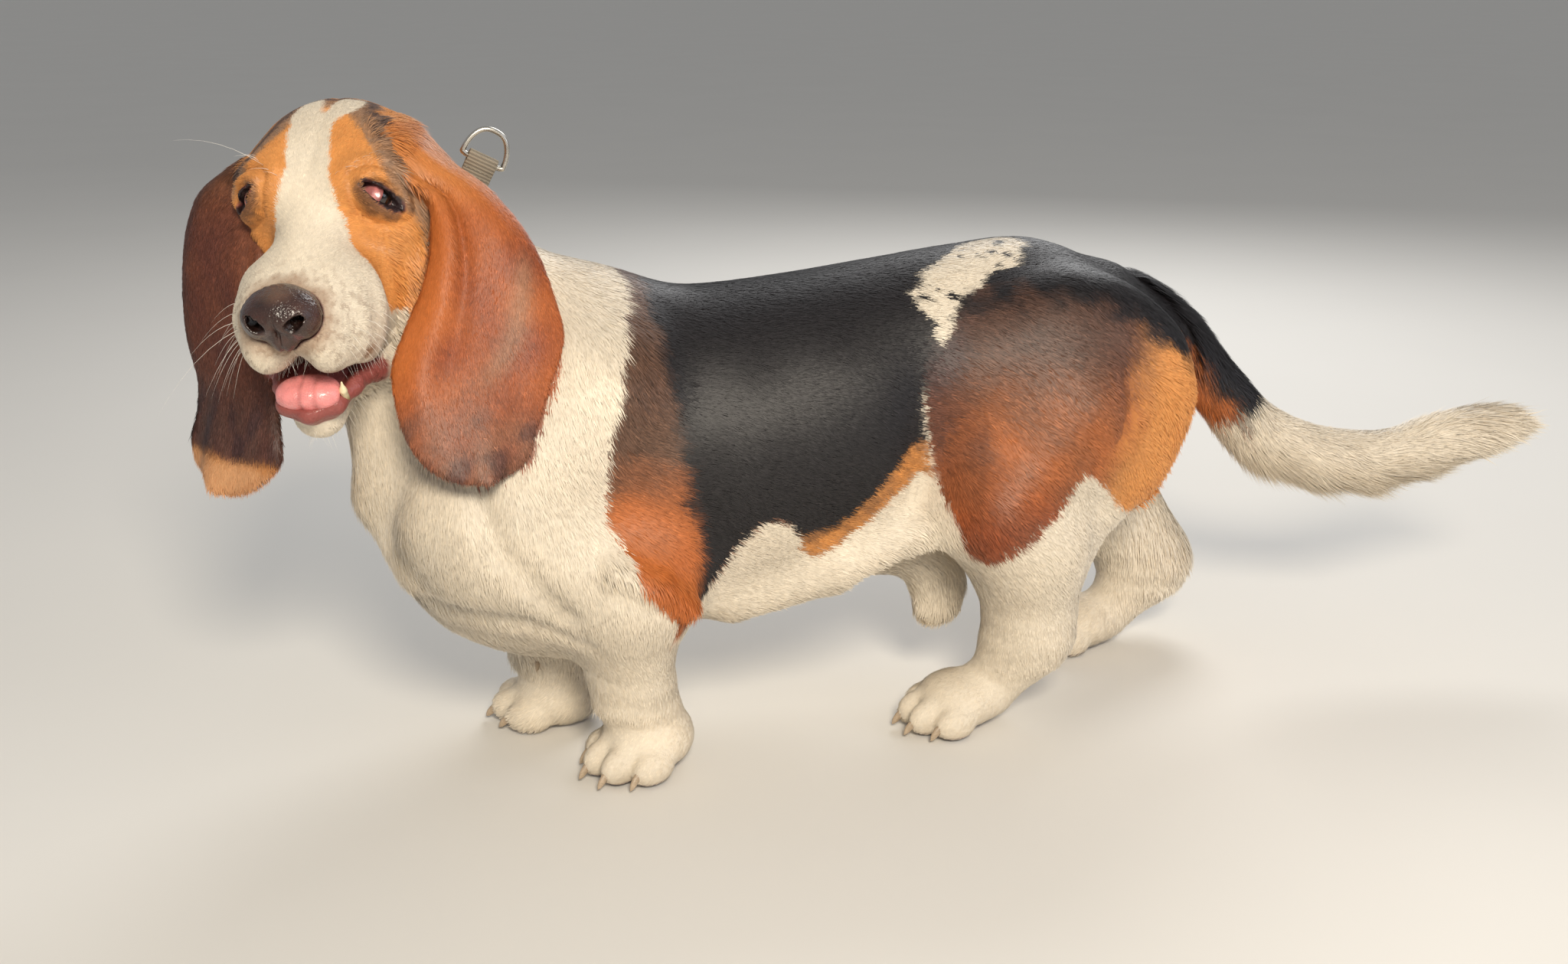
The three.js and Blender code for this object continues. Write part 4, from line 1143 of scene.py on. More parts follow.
def lie(p):
    """The way that the hair lies at each place."""
    q = to_head(p)
    x, y, _ = p.T
    ways = [(trunk(p), np.repeat([[1.0, 0, -0.28]], len(p), 0))]
    chest_way = np.stack([0.35 + 0 * x, -0.25 * np.sign(y) * ease(60, 0, np.abs(y)), -1 + 0 * x], 1)
    ways.append((CHEST(p) + 8 * ease(-90, -30, x), chest_way))
    ways.append((NECK(p), np.repeat([[0.42, 0, -0.9]], len(p), 0)))
    for name, leg in LEGS.items():
        if name in FORE:
            ways.append((LEG_FIELDS[name](p), np.repeat([[0.12, 0, -1.0]], len(p), 0)))
        else:
            hip = np.array(leg["hip"])
            back = ease(100, 190, np.linalg.norm(p - hip, axis=1))
            way = np.stack([0.75 - 0.6 * back, 0 * x, -0.7 - 0.3 * back], 1)
            ways.append((LEG_FIELDS[name](p), way))
        toes = np.array(paw_point(leg, -60, 0, 0)) - np.array(leg["paw"])
        ways.append((PAW_FIELDS[name](p) - 4, np.repeat([unit(toes) + (0, 0, -0.6)], len(p), 0)))
    t = tail_place(p)
    ahead, _ = tail_station(np.minimum(t + 0.3, len(TAIL) - 1))
    behind, _ = tail_station(np.maximum(t - 0.3, 0))
    ways.append((TAIL_FIELD(p) - 6, unit(ahead - behind) + (0, 0, -0.22)))
    hx, hy, hz = q.T
    head_way = np.stack([
        -1.0 + 0.55 * ease(30, 60, hx) * ease(-20, -50, hz),
        hy / 60,
        -0.25 - 1.0 * ease(0, -50, hz),
    ], 1)
    ways.append((head_skin(q) - 2, unit(head_way) @ HEAD_AXES))
    for ear in EAR_FIELDS.values():
        ways.append((ear(p) - 6, np.repeat([[0.05, 0, -1.0]], len(p), 0)))
    total = np.zeros_like(p)
    least = np.min([d for d, _ in ways], axis=0)
    for distance, way in ways:
        weight = np.exp(-(distance - least) / 9)
        total += unit(way) * weight[:, None]
    turn = 0.16 * np.stack([waves(p, 30, 21 + c) for c in range(3)], 1)
    return unit(total + turn)


# The row frame: the left eye's solid is centred on its own eye, so it gives the shift

EYE_BOX = np.array(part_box("eye_left"), float).reshape(2, 3)
SHIFT = EYE_BOX.mean(0) * 1000 - from_head(EYES["left"])


def to_row(p):
    return (np.asarray(p, float) + SHIFT) / 1000


def to_dog(p):
    return np.asarray(p, float) * 1000 - SHIFT


# Meshes, attributes and finished pieces

def mesh_from(name, points, faces):
    """A mesh from an array of places and an array of faces with equal counts of corners."""
    mesh = bpy.data.meshes.new(name)
    faces = np.asarray(faces, np.int32)
    count, corners = faces.shape
    mesh.vertices.add(len(points))
    mesh.vertices.foreach_set("co", np.asarray(points, np.float32).ravel())
    mesh.loops.add(count * corners)
    mesh.loops.foreach_set("vertex_index", faces.ravel())
    mesh.polygons.add(count)
    mesh.polygons.foreach_set("loop_start", np.arange(count, dtype=np.int32) * corners)
    mesh.update(calc_edges=True)
    return mesh


def placed(name, data):
    """A new object in the scene, at the origin."""
    made = bpy.data.objects.new(name, data)
    bpy.context.scene.collection.objects.link(made)
    return made


def discard(made):
    """Removes an object together with its mesh."""
    old = made.data
    bpy.data.objects.remove(made)
    bpy.data.meshes.remove(old)


def baked(holder):
    """The plain mesh that an object's modifiers make."""
    bpy.context.view_layer.update()
    seen = holder.evaluated_get(bpy.context.evaluated_depsgraph_get())
    return bpy.data.meshes.new_from_object(seen)


def show(mesh, name, material, replaced=()):
    """Puts a finished mesh in the scene as a piece that rides on the body."""
    piece = placed(f"{PREFIX}_{name}", mesh)
    mesh.materials.clear()
    mesh.materials.append(material)
    mesh.shade_smooth()
    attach(piece, "root")
    if replaced:
        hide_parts(*replaced)


def set_colour(mesh, colour):
    layer_of = mesh.attributes.new("marking", "FLOAT_COLOR", "POINT")
    values = np.ones((len(colour), 4), np.float32)
    values[:, :3] = np.clip(colour, 0, 1)
    layer_of.data.foreach_set("color", values.ravel())


def set_number(mesh, name, value):
    mesh.attributes.new(name, "FLOAT", "POINT").data.foreach_set("value", value.astype(np.float32))


def read(items, key, width=3, kind=np.float32):
    """One row of numbers for each item in a list of a mesh."""
    values = np.empty(len(items) * width, kind)
    items.foreach_get(key, values)
    return values.reshape(-1, width)


def places_of(mesh):
    return read(mesh.vertices, "co").astype(float)


def triangles_of(mesh):
    mesh.calc_loop_triangles()
    return read(mesh.loop_triangles, "vertices", 3, np.int32)


def whole_parts(points, faces, least=0.9):
    """Keeps the parts of at least a share of the largest, so that no stray face is left."""
    label = np.arange(len(points))
    while True:
        low = label[faces].min(1)
        fresh = label.copy()
        for c in range(faces.shape[1]):
            np.minimum.at(fresh, faces[:, c], low)
        fresh = fresh[fresh]
        if (fresh == label).all():
            break
        label = fresh
    sizes = np.bincount(label, minlength=len(points))
    used = sizes[label] >= least * sizes.max()
    number = np.cumsum(used) - 1
    return points[used], number[faces[used[faces[:, 0]]]]


def union_of(parts):
    """One closed mesh from closed meshes that overlap."""
    objects = []
    for i, (points, faces) in enumerate(parts):
        objects.append(placed(f"zone_{i}", mesh_from(f"zone_{i}", points, faces)))
    base = objects[0]
    for other in objects[1:]:
        union = base.modifiers.new("union", "BOOLEAN")
        union.operation = "UNION"
        union.solver = "MANIFOLD"
        union.object = other
    mesh = baked(base)
    for made in objects:
        discard(made)
    if len(mesh.vertices) < sum(len(points) for points, _ in parts) * 0.5:
        raise RuntimeError("The zones of the skin could not be united")
    return mesh


# Materials: each node is added with its settings, its values and its links

def add_node(tree, kind, inputs=None, **settings):
    made = tree.nodes.new(kind)
    for key, value in settings.items():
        setattr(made, key, value)
    for key, value in (inputs or {}).items():
        if isinstance(value, bpy.types.NodeSocket):
            tree.links.new(value, made.inputs[key])
        else:
            made.inputs[key].default_value = value
    return made


def finish_named(name):
    """An empty material with its tree."""
    made = bpy.data.materials.new(f"{PREFIX}_{name}")
    made.use_nodes = True
    made.node_tree.nodes.clear()
    return made, made.node_tree


def end_with(made, inputs):
    """Adds the shader and the output, and gives the finished material."""
    shader = add_node(made.node_tree, "ShaderNodeBsdfPrincipled", inputs)
    add_node(made.node_tree, "ShaderNodeOutputMaterial", {"Surface": shader.outputs[0]})
    return made


def toned(tree, pattern, low, high, colour=None):
    """The marking, or another colour, made darker and lighter by a pattern."""
    if colour is None:
        marking = add_node(tree, "ShaderNodeAttribute", attribute_name="marking")
        colour = marking.outputs["Color"]
    bright = add_node(tree, "ShaderNodeMapRange", {"Value": pattern, "To Min": low, "To Max": high})
    tone = add_node(
        tree, "ShaderNodeVectorMath", {0: colour, "Scale": bright.outputs[0]}, operation="SCALE",
    )
    return tone.outputs[0]


def coat_hair():
    """Short smooth hair: each lock catches the light a little, and no two are quite alike."""
    made, tree = finish_named("smooth_hair")
    place = add_node(tree, "ShaderNodeTexCoord").outputs["Object"]
    locks = add_node(tree, "ShaderNodeTexNoise", {"Vector": place, "Scale": 260.0, "Detail": 2.0})
    return end_with(made, {
        "Base Color": toned(tree, locks.outputs[0], 0.86, 1.12), "Roughness": 0.5,
        "Specular IOR Level": 0.4, "IOR": 1.55,
    })


def coat_skin():
    """Skin under the coat: flat hair shows as fine ridges, and bare skin is smooth and damp."""
    made, tree = finish_named("skin_with_flat_hair")
    bare = add_node(tree, "ShaderNodeAttribute", attribute_name="bare").outputs["Fac"]
    place = add_node(tree, "ShaderNodeTexCoord").outputs["Object"]
    drawn = add_node(tree, "ShaderNodeMapping", {"Vector": place, "Scale": (320.0, 900.0, 420.0)})
    ridges = add_node(
        tree, "ShaderNodeTexNoise", {"Vector": drawn.outputs[0], "Scale": 1.0, "Detail": 3.0},
    ).outputs[0]
    pores = add_node(tree, "ShaderNodeTexVoronoi", {"Vector": place, "Scale": 520.0})
    damp = add_node(tree, "ShaderNodeMapRange", {"Value": bare, "To Min": 0.75, "To Max": 0.32})
    height = add_node(
        tree, "ShaderNodeMix", {"Factor": bare, "A": ridges, "B": pores.outputs["Distance"]},
    )
    bump = add_node(
        tree, "ShaderNodeBump", {"Height": height.outputs[0], "Strength": 0.5, "Distance": 0.0006},
    )
    return end_with(made, {
        "Base Color": toned(tree, ridges, 0.84, 1.08), "Roughness": damp.outputs[0],
        "Normal": bump.outputs[0], "Specular IOR Level": 0.4,
    })


# The skin

ZONES = [
    ("trunk", trunk_zone, (-220, -150, 36), (800, 150, 450), "body_cell"),
    ("paws", paw_zone, (-110, -120, -6), (520, 120, 62), "paw_cell"),
    ("head", head_zone, (-300, -150, 215), (-20, 90, 500), "head_cell"),
    ("face", face_zone, (-340, -230, 280), (-100, 60, 500), "face_cell"),
]
# Least share of the largest part that is kept, so that all four paws stay
LEAST_PAW = 0.3
FLESH = [
    "chest", "loin", "sheath", "neck", "head", "lower_jaw", "ear_left", "ear_right",
    "foreleg_left", "foreleg_right", "forepaw_left", "forepaw_right",
    "thigh_left", "thigh_right", "shank_left", "shank_right", "hindpaw_left", "hindpaw_right",
    "tail_base", "tail_middle", "tail_tip",
]


def make_skin():
    sizes = bpy.context.scene.hound_sizes
    parts = []
    for _, field, low, high, cell in ZONES:
        points, faces = net(field, low, high, getattr(sizes, cell))
        parts.append(whole_parts(points, faces, LEAST_PAW))
    joined = union_of(parts)
    points, faces = whole_parts(places_of(joined), triangles_of(joined))
    bpy.data.meshes.remove(joined)
    mesh = mesh_from("skin", to_row(points), faces)
    bare = bare_skin(points)
    colour = marks(points)
    colour = layer(colour, "lip", bare)
    q = to_head(points)
    for side in EYES:
        at = eye_place(side, q)
        rim = ease(2.6, 0.9, slit(at) + 0.7 * waves(points, 5, 35)) * (at[:, 2] > 0)
        colour = layer(colour, "rim", rim)
    colour = layer(colour, "rim", ease(2.5, 0.5, NOSE_LEATHER(q)))
    colour = layer(colour, "rim", ease(5, 1, points[:, 2]))
    set_colour(mesh, colour)
    set_number(mesh, "bare", bare)
    way = mesh.attributes.new("lie", "FLOAT_VECTOR", "POINT")
    way.data.foreach_set("vector", lie(points).astype(np.float32).ravel())
    show(mesh, "skin", coat_skin(), FLESH)


# The coat: tufts of three thin flat locks, each rooted in the skin and lying along its way

HAIR = {
    # region: locks for each square millimetre, length, width and rise of the tip
    "face": (2.1, 4.0, 0.48, 0.45),
    "crown": (2.2, 5.0, 0.5, 0.5),
    "ear_left": (1.6, 5.5, 0.52, 0.45),
    "ear_right": (1.5, 5.5, 0.52, 0.45),
    "neck": (1.2, 11.5, 0.78, 0.85),
    "chest": (1.2, 12.5, 0.78, 1.0),
    "side_left": (1.05, 11.0, 0.78, 0.8),
    "side_right": (1.05, 11.0, 0.78, 0.8),
    "rump": (0.95, 10.5, 0.78, 0.8),
    "thighs": (1.0, 9.5, 0.78, 0.8),
    "legs": (1.1, 7.0, 0.68, 0.7),
    "tail": (1.3, 25.0, 0.8, 4.5),
}
# The most locks that one region may have
MOST_LOCKS = 77000
LOCKS = 3
# Tones of a lock at its root, its two widest corners and its tip
LOCK_TONES = (0.86, 0.99, 0.99, 1.05)
# How flat the tail's hair lies, and how much the hair rises over the collar
TAIL_FLAT = 0.3
BAND_RISE = 2.6
LEAST_HEIGHT = 0.3
ROOT_SEED = 7
LOCK_SEED = 11
# Width of a tuft's place on the coat's map
PATCH = 0.003


def region_of(p):
    """The coat's region at each place, as a number in the order of HAIR."""
    q = to_head(p)
    x, y, z = p.T
    head = head_skin(q)
    belly = (z < 140) & (trunk(p) < 4) & (np.abs(y) < 60)
    # Each line takes its places from the lines before it
    claims = [
        ("side_left", y < 0),
        ("side_right", y >= 0),
        ("rump", x > 190),
        ("thighs", (x > 190) & (z < 300) & (np.abs(y) > 30)),
        ("chest", (x < 0) | ((x < 40) & (z < 150))),
        ("neck", (x < 10) & (z > 262)),
        ("legs", z < 118),
        ("chest", belly & (x > -20)),
        ("crown", (head < 2.5) & (q[:, 0] > -96)),
        ("face", (head < 2.5) & (q[:, 0] > -14)),
    ]
    for name, field in EAR_FIELDS.items():
        claims.append((f"ear_{name}", (field(p) < 2.0) & (head > 3.0)))
    claims.append(("tail", (TAIL_FIELD(p) < 5) & (x > 405)))
    region = np.zeros(len(p), int)
    for name, here in claims:
        region[here] = list(HAIR).index(name)
    return region


def hair_reach(p):
    """How much longer or shorter the hair is than usual in its region."""
    q = to_head(p)
    x, y, z = p.T
    reach = np.ones(len(p))
    reach *= 1 - 0.45 * ease(60, 30, z)
    # Longer under the chest and belly, and at the back of the thighs
    below = ease(150, 110, z) * ease(60, 30, np.abs(y)) * ease(-140, -90, x)
    reach *= 1 + 0.7 * below
    behind = ease(378, 396, x) * ease(60, 100, z) * ease(300, 260, z)
    reach *= 1 + 0.8 * behind * (TAIL_FIELD(p) > 8)
    reach *= 1 + 0.35 * ease(-150, -170, x) * ease(300, 260, z)
    reach *= np.where(q[:, 0] < -90, 0.5 + 0.5 * ease(2, 30, head_skin(q)), 1)
    # Very short round the eyes, the nose and the lips
    reach *= 0.45 + 0.55 * ease(2, 24, NOSE_LEATHER(q))
    for side in EYES:
        away = np.linalg.norm(q - EYES[side], axis=1)
        reach *= 0.6 + 0.4 * ease(13, 24, away)
    # The tail's brush hangs longest from its underside
    on_tail = (x > 430) & (TAIL_FIELD(p) < 8)
    if on_tail.any():
        t = tail_place(p[on_tail])
        middle, radius = tail_station(t)
        low = ease(0.2, -0.8, (p[on_tail][:, 2] - middle[:, 2]) / np.maximum(radius, 4))
        reach[on_tail] *= 0.75 + 0.75 * np.maximum(low * ease(1.5, 3.5, t), 0.8 * ease(4.8, 6.2, t))
    return reach


def coat_roots(skin, seed):
    """Random places on the skin, as many for each area as its region asks for."""
    dice = np.random.default_rng(seed)
    mesh = skin.data
    points = to_dog(places_of(mesh))
    corners = triangles_of(mesh)
    normals = read(mesh.vertices, "normal")
    way = read(mesh.attributes["lie"].data, "vector")
    a, b, c = (points[corners[:, i]] for i in range(3))
    area = np.linalg.norm(np.cross(b - a, c - a), axis=1) / 2
    region = region_of((a + b + c) / 3)
    share = np.array([row[0] for row in HAIR.values()])
    wanted = area * share[region] / LOCKS * bpy.context.scene.hound_sizes.hair_count
    for i in range(len(HAIR)):
        here = region == i
        total = wanted[here].sum() * LOCKS
        if total > MOST_LOCKS:
            wanted[here] *= MOST_LOCKS / total
    count = np.floor(wanted + dice.random(len(wanted))).astype(int)
    face = np.repeat(np.arange(len(count)), count)
    share_b = np.sqrt(dice.random(len(face)))
    share_c = dice.random(len(face))
    weights = np.stack([1 - share_b, share_b * (1 - share_c), share_b * share_c], 1)
    place, normal, along = (
        (source[corners[face]] * weights[:, :, None]).sum(1) for source in (points, normals, way)
    )
    return place, unit(normal), along, region[face]


def over_band(p):
    """Where the hair has to rise over the collar's band."""
    off = np.abs((p - COLLAR_CENTRE) @ COLLAR_ARROW)
    return ease(26, 12, off) * (NECK(p) < 14) * (head_skin(to_head(p)) > 3)


def lock_arrays(dice, place, normal, along, length, width, rise, flat=1.0):
    """Corners of all locks, each with its root, two at its widest place and its tip."""
    dip = (along * normal).sum(1, keepdims=True)
    along = unit(along - dip * normal * np.where(dip > 0, flat, 1))
    across = unit(np.cross(normal, along))
    points = []
    for lock in range(LOCKS):
        turn = dice.normal(0, 0.12, len(place))[:, None] + (lock - 1) * 0.08
        reach = (length * dice.uniform(0.7, 1.12, len(place)))[:, None]
        half = (width * dice.uniform(0.7, 1.25, len(place)))[:, None] / 2
        lift = (rise * dice.uniform(0.4, 1.3, len(place)))[:, None]
        way = along * np.cos(turn) + across * np.sin(turn)
        side = across * np.cos(turn) - along * np.sin(turn)
        root = place + across * (lock - 1) * half * 2.2
        root = root + along * reach * dice.uniform(-0.25, 0.25, (len(place), 1)) - normal * 0.5
        middle = root + way * reach * 0.42 + normal * (0.5 + lift * 0.7)
        tip = root + way * reach + normal * (0.45 + lift)
        tip[:, 2] -= reach[:, 0] * 0.05
        points.append(np.stack([root, middle - side * half, middle + side * half, tip], 1))
    return np.stack(points, 1)


def lock_faces(count):
    pattern = np.array([(0, 1, 2), (1, 3, 2)])
    return (np.arange(count)[:, None, None] * 4 + pattern).reshape(-1, 3)


def skin_patch(place, normal):
    """Where each root is on an unwrap of the skin: six views of it, side by side."""
    low = place.min(0)
    size = (place.max(0) - low).max()
    unit_place = (place - low) / max(size, 1)
    axis = np.abs(normal).argmax(1)
    side = normal[np.arange(len(normal)), axis] > 0
    first = unit_place[np.arange(len(axis)), (axis + 1) % 3]
    second = unit_place[np.arange(len(axis)), (axis + 2) % 3]
    u = (axis + 0.04 + 0.92 * first) / 3
    v = (side + 0.04 + 0.92 * second) / 2
    return np.stack([u, v], 1)


def make_coat(skin):
    dice = np.random.default_rng(LOCK_SEED)
    place, normal, along, region = coat_roots(skin, ROOT_SEED)
    bare = bare_skin(place)
    # The hair parts only round the tab; elsewhere it covers the band
    tab = np.linalg.norm(place - (RING_PLACE - RING_UP * 26), axis=1) < 12
    keep = (bare < 0.25) & ~tab & (place[:, 2] > 1.5)
    place, normal, along, region = place[keep], normal[keep], along[keep], region[keep]
    colour = marks(place)
    reach = hair_reach(place) * bpy.context.scene.hound_sizes.hair_length
    material = coat_hair()
    for i, (name, (_, length, width, rise)) in enumerate(HAIR.items()):
        here = region == i
        if not here.any():
            raise RuntimeError(f"No hair grows on {name}")
        roots = place[here]
        longer = reach[here]
        locks = lock_arrays(
            dice, roots, normal[here], along[here], length * longer, width * np.sqrt(longer),
            rise * longer + BAND_RISE * over_band(roots), TAIL_FLAT if name == "tail" else 1.0,
        )
        locks[..., 2] = np.maximum(locks[..., 2], LEAST_HEIGHT)
        count = len(roots) * LOCKS
        mesh = mesh_from(name, to_row(locks.reshape(-1, 3)), lock_faces(count))
        light = colour[here].max(1)
        spread = 0.19 - 0.145 * ease(0.12, 0.6, light)
        tuft = np.exp(dice.normal(0, 1, len(roots)) * spread)[:, None]
        single = np.exp(dice.normal(0, 1, (len(roots), LOCKS)) * spread[:, None] * 0.7)
        shades = colour[here][:, None, None, :] * (tuft * single)[:, :, None, None]
        shades = shades * np.array(LOCK_TONES)[None, None, :, None]
        set_colour(mesh, shades.reshape(-1, 3))
        patch = skin_patch(roots, normal[here])
        corner = np.array([(0, -1), (-1, -0.1), (1, -0.1), (0, 1)]) * PATCH / 2
        spots = patch[:, None, None, :] + corner[None, None]
        spots = np.repeat(spots, LOCKS, 1).reshape(-1, 2)
        mesh.uv_layers.new(name="OFBake")
        corners = lock_faces(count).ravel()
        mesh.uv_layers["OFBake"].data.foreach_set("uv", spots[corners].astype(np.float32).ravel())
        show(mesh, f"coat_{name}", material)


# Eyes, with the third eyelid drawn over their inner part

GAZE = {"left": (0.47, 0.70, 0.53), "right": (0.80, -0.10, 0.55)}
HAW_REACH = {"left": 15.5, "right": 11.5}
IRIS_ANGLE = 42
PUPIL_ANGLE = 17


def ball_arrays(centre, pole, radius, rings=40, sides=64):
    """A ball with its pole towards a given way, swollen a little at the cornea."""
    pole = unit(np.array(pole, float))
    side = unit(np.cross(pole, (0, 0, 1.0)))
    other = np.cross(pole, side)
    angle = np.concatenate([np.linspace(0, 60, rings // 2), np.linspace(64, 180, rings // 2)])
    angle = np.radians(angle)
    bulge = 1 + 0.05 * bell(np.degrees(angle), 24)
    ring = round_ways(sides, side, other)
    rows = []
    for a, swell in zip(angle, bulge):
        rows.append(centre + radius * swell * (math.cos(a) * pole + math.sin(a) * ring))
    return np.concatenate(rows), grid_faces(len(angle), sides)


def round_ways(sides, first, second):
    """Ways round a circle, from the first way towards the second."""
    turn = np.linspace(0, 2 * math.pi, sides, endpoint=False)[:, None]
    return np.cos(turn) * first + np.sin(turn) * second


def grid_faces(rows, sides, closed=True):
    """Quads between the rings of a swept or turned form, facing out."""
    row = np.arange(rows - 1)[:, None] * sides
    spot = np.arange(sides if closed else sides - 1)[None]
    after = (spot + 1) % sides
    quads = np.stack([row + spot, row + after, row + sides + after, row + sides + spot], -1)
    return quads.reshape(-1, 4)


def face_out(mesh):
    """Turns all faces outwards, after doubled points are merged."""
    form = bmesh.new()
    form.from_mesh(mesh)
    bmesh.ops.remove_doubles(form, verts=form.verts, dist=1e-6)
    bmesh.ops.recalc_face_normals(form, faces=form.faces)
    form.to_mesh(mesh)
    form.free()
    return mesh


def eye_surface():
    """Wet eyeball: a clear gloss over the colours of the iris and the white."""
    made, tree = finish_named("wet_eyeball")
    marking = add_node(tree, "ShaderNodeAttribute", attribute_name="marking")
    return end_with(made, {
        "Base Color": marking.outputs["Color"], "Roughness": 0.06, "IOR": 1.376,
        "Coat Weight": 1.0, "Coat Roughness": 0.02,
    })


def membrane_surface(name, roughness, pits, depth=0.0004):
    """Wet skin without hair, with small pits that break its gloss."""
    made, tree = finish_named(name)
    place = add_node(tree, "ShaderNodeTexCoord").outputs["Object"]
    cells = add_node(tree, "ShaderNodeTexVoronoi", {"Vector": place, "Scale": pits})
    blotch = add_node(
        tree, "ShaderNodeTexNoise", {"Vector": place, "Scale": 160.0, "Detail": 3.0},
    ).outputs[0]
    gloss = add_node(
        tree, "ShaderNodeMapRange",
        {"Value": blotch, "To Min": roughness - 0.1, "To Max": roughness + 0.12},
    )
    bump = add_node(
        tree, "ShaderNodeBump",
        {"Height": cells.outputs["Distance"], "Strength": 0.6, "Distance": depth},
    )
    return end_with(made, {
        "Base Color": toned(tree, blotch, 0.72, 1.25), "Roughness": gloss.outputs[0],
        "Normal": bump.outputs[0], "Subsurface Weight": 0.12,
        "Subsurface Radius": (0.004, 0.0015, 0.001), "Coat Weight": 0.4, "Coat Roughness": 0.15,
    })


def eye_colour(side, q):
    """Pupil, spoked iris with a dark rim, and a veined white, by the angle from the gaze."""
    way = unit(q - EYES[side])
    pole = unit(np.array(GAZE[side], float))
    first = unit(np.cross(pole, (0, 0, 1.0)))
    angle = np.degrees(np.arccos(np.clip(way @ pole, -1, 1)))
    turn = np.arctan2(way @ np.cross(pole, first), way @ first)
    spokes = 0.8 + 0.4 * np.sin(turn * 23 + 3 * np.sin(turn * 7)) * ease(PUPIL_ANGLE, 24, angle)
    colour = plain("iris", q) * spokes[:, None]
    pupil = ease(PUPIL_ANGLE + 1, PUPIL_ANGLE - 1, angle)
    colour = layer(colour, np.array((0.004, 0.003, 0.003)), pupil)
    colour = layer(colour, "rim", ease(IRIS_ANGLE - 6, IRIS_ANGLE, angle))
    veins = clamp01(0.5 + 0.5 * waves(q, 3, 31))[:, None]
    white = np.array((0.50, 0.38, 0.32)) * (1 - veins) + shade("haw") * veins
    return colour + (white - colour) * ease(IRIS_ANGLE, IRIS_ANGLE + 4, angle)[:, None]


def make_haw(side, radius, material):
    """The pink third eyelid: a thin shell over the inner part of the eyeball, with a free edge."""
    axes = eye_axes(side)
    rows = 16
    sides = 22
    u = np.linspace(0, 1, rows)[:, None]
    v = np.linspace(-1, 1, sides)[None]
    along = -13.5 + (HAW_REACH[side] - 3.0 * v * v) * u
    up = 8.5 * v + 0 * u
    layers = []
    for lift in (0.35, 1.0):
        swell = radius + lift + 0.5 * ease(0.7, 1.0, u) * (lift > 0.5) + 0 * v
        depth = np.sqrt(np.maximum(swell ** 2 - along ** 2 - up ** 2, 0.5))
        q = along[..., None] * axes[0] + up[..., None] * axes[1] + depth[..., None] * axes[2]
        layers.append((q + EYES[side]).reshape(-1, 3))
    faces = grid_faces(rows, sides, closed=False)
    ring = np.concatenate([
        np.arange(sides), np.arange(1, rows) * sides + sides - 1,
        (rows - 1) * sides + np.arange(sides - 2, -1, -1), np.arange(rows - 2, 0, -1) * sides,
    ])
    after = np.roll(ring, -1)
    wall = np.stack([ring, after, after + rows * sides, ring + rows * sides], 1)
    every = np.concatenate([faces[:, ::-1], faces + rows * sides, wall])
    mesh = face_out(mesh_from(f"haw_{side}", to_row(from_head(np.concatenate(layers))), every))
    q = to_head(to_dog(places_of(mesh)))
    at = eye_place(side, q)
    edge = ease(-2.5, 1.0, at[:, 0])
    colour = plain("haw", q) * (0.85 + 0.25 * waves(q, 2.5, 33))[:, None]
    set_colour(mesh, layer(colour, "lip", 0.5 * edge))
    show(mesh, f"haw_{side}", material)


def make_eyes():
    radius = bpy.context.scene.hound_sizes.eye_radius * 1000
    wet = eye_surface()
    pink = membrane_surface("third_eyelid", 0.25, 900.0, 0.0001)
    for side, centre in EYES.items():
        points, faces = ball_arrays(centre, GAZE[side], radius)
        mesh = face_out(mesh_from(f"eye_{side}", to_row(from_head(points)), faces))
        set_colour(mesh, eye_colour(side, to_head(to_dog(places_of(mesh)))))
        show(mesh, f"eye_{side}", wet, (f"eye_{side}",))
        make_haw(side, radius, pink)


# Nose, tongue and the one tooth that shows

NOSTRIL_CUTS = join(both(
    lambda s: cord([(122, s * 9, -12), (112, s * 13, -9), (104, s * 19, -13)], 4.0, 3)
), 1)
NOSTRIL_SLITS = join(both(lambda s: limb((108, s * 18, -14), (94, s * 27, -20), 2.6, 1.0)), 1)
CANINE = join([
    limb((94, 21, -84), (97, 22, -76), 2.9, 2.2),
    limb((97, 22, -76), (96, 22, -70), 2.2, 0.5),
], 2)
NOSE_CELL = 0.9
TONGUE_CELL = 1.2
TOOTH_CELL = 0.6
IVORY = "#E2D4AE"
TARTAR = "#8A6A3C"


def nose_skin(q):
    """The nose leather with its nostrils, their rear slits and the groove between them."""
    form = NOSE_LEATHER(q) - 0.6
    rim = bell(NOSTRIL_CUTS(q), 3.2)
    form = form - 1.2 * rim
    form = meet(form, -NOSTRIL_CUTS(q), 2.0)
    form = meet(form, -NOSTRIL_SLITS(q), 1.6)
    groove = bell(q[:, 1], 1.3) * ease(-2, -12, q[:, 2]) * ease(96, 104, q[:, 0])
    return form + 1.8 * groove - 0.12 * waves(q, 1.6, 41)


def tongue_form(q):
    """A broad tongue that lies on the lower lip, with its two long grooves."""
    x, y, _ = q.T
    form = TONGUE(q)
    grooves = bell(y + 3, 1.6) + 0.7 * bell(y - 6, 1.6)
    return form + 0.8 * grooves * ease(84, 94, x)


TONGUE = join([
    egg((66, 0, -86), (36, 18, 8)),
    egg((96, 0, -75), (13, 20, 7)),
    egg((102, 0, -79), (6, 19, 6.5)),
], 7)


def formed_piece(name, field, low, high, cell, colour, material, replaced=()):
    """A smooth piece netted from its own form in the head's frame."""
    points, faces = whole_parts(*net(field, low, high, cell))
    mesh = mesh_from(name, to_row(from_head(points)), faces)
    set_colour(mesh, colour(points))
    show(mesh, name, material, replaced)


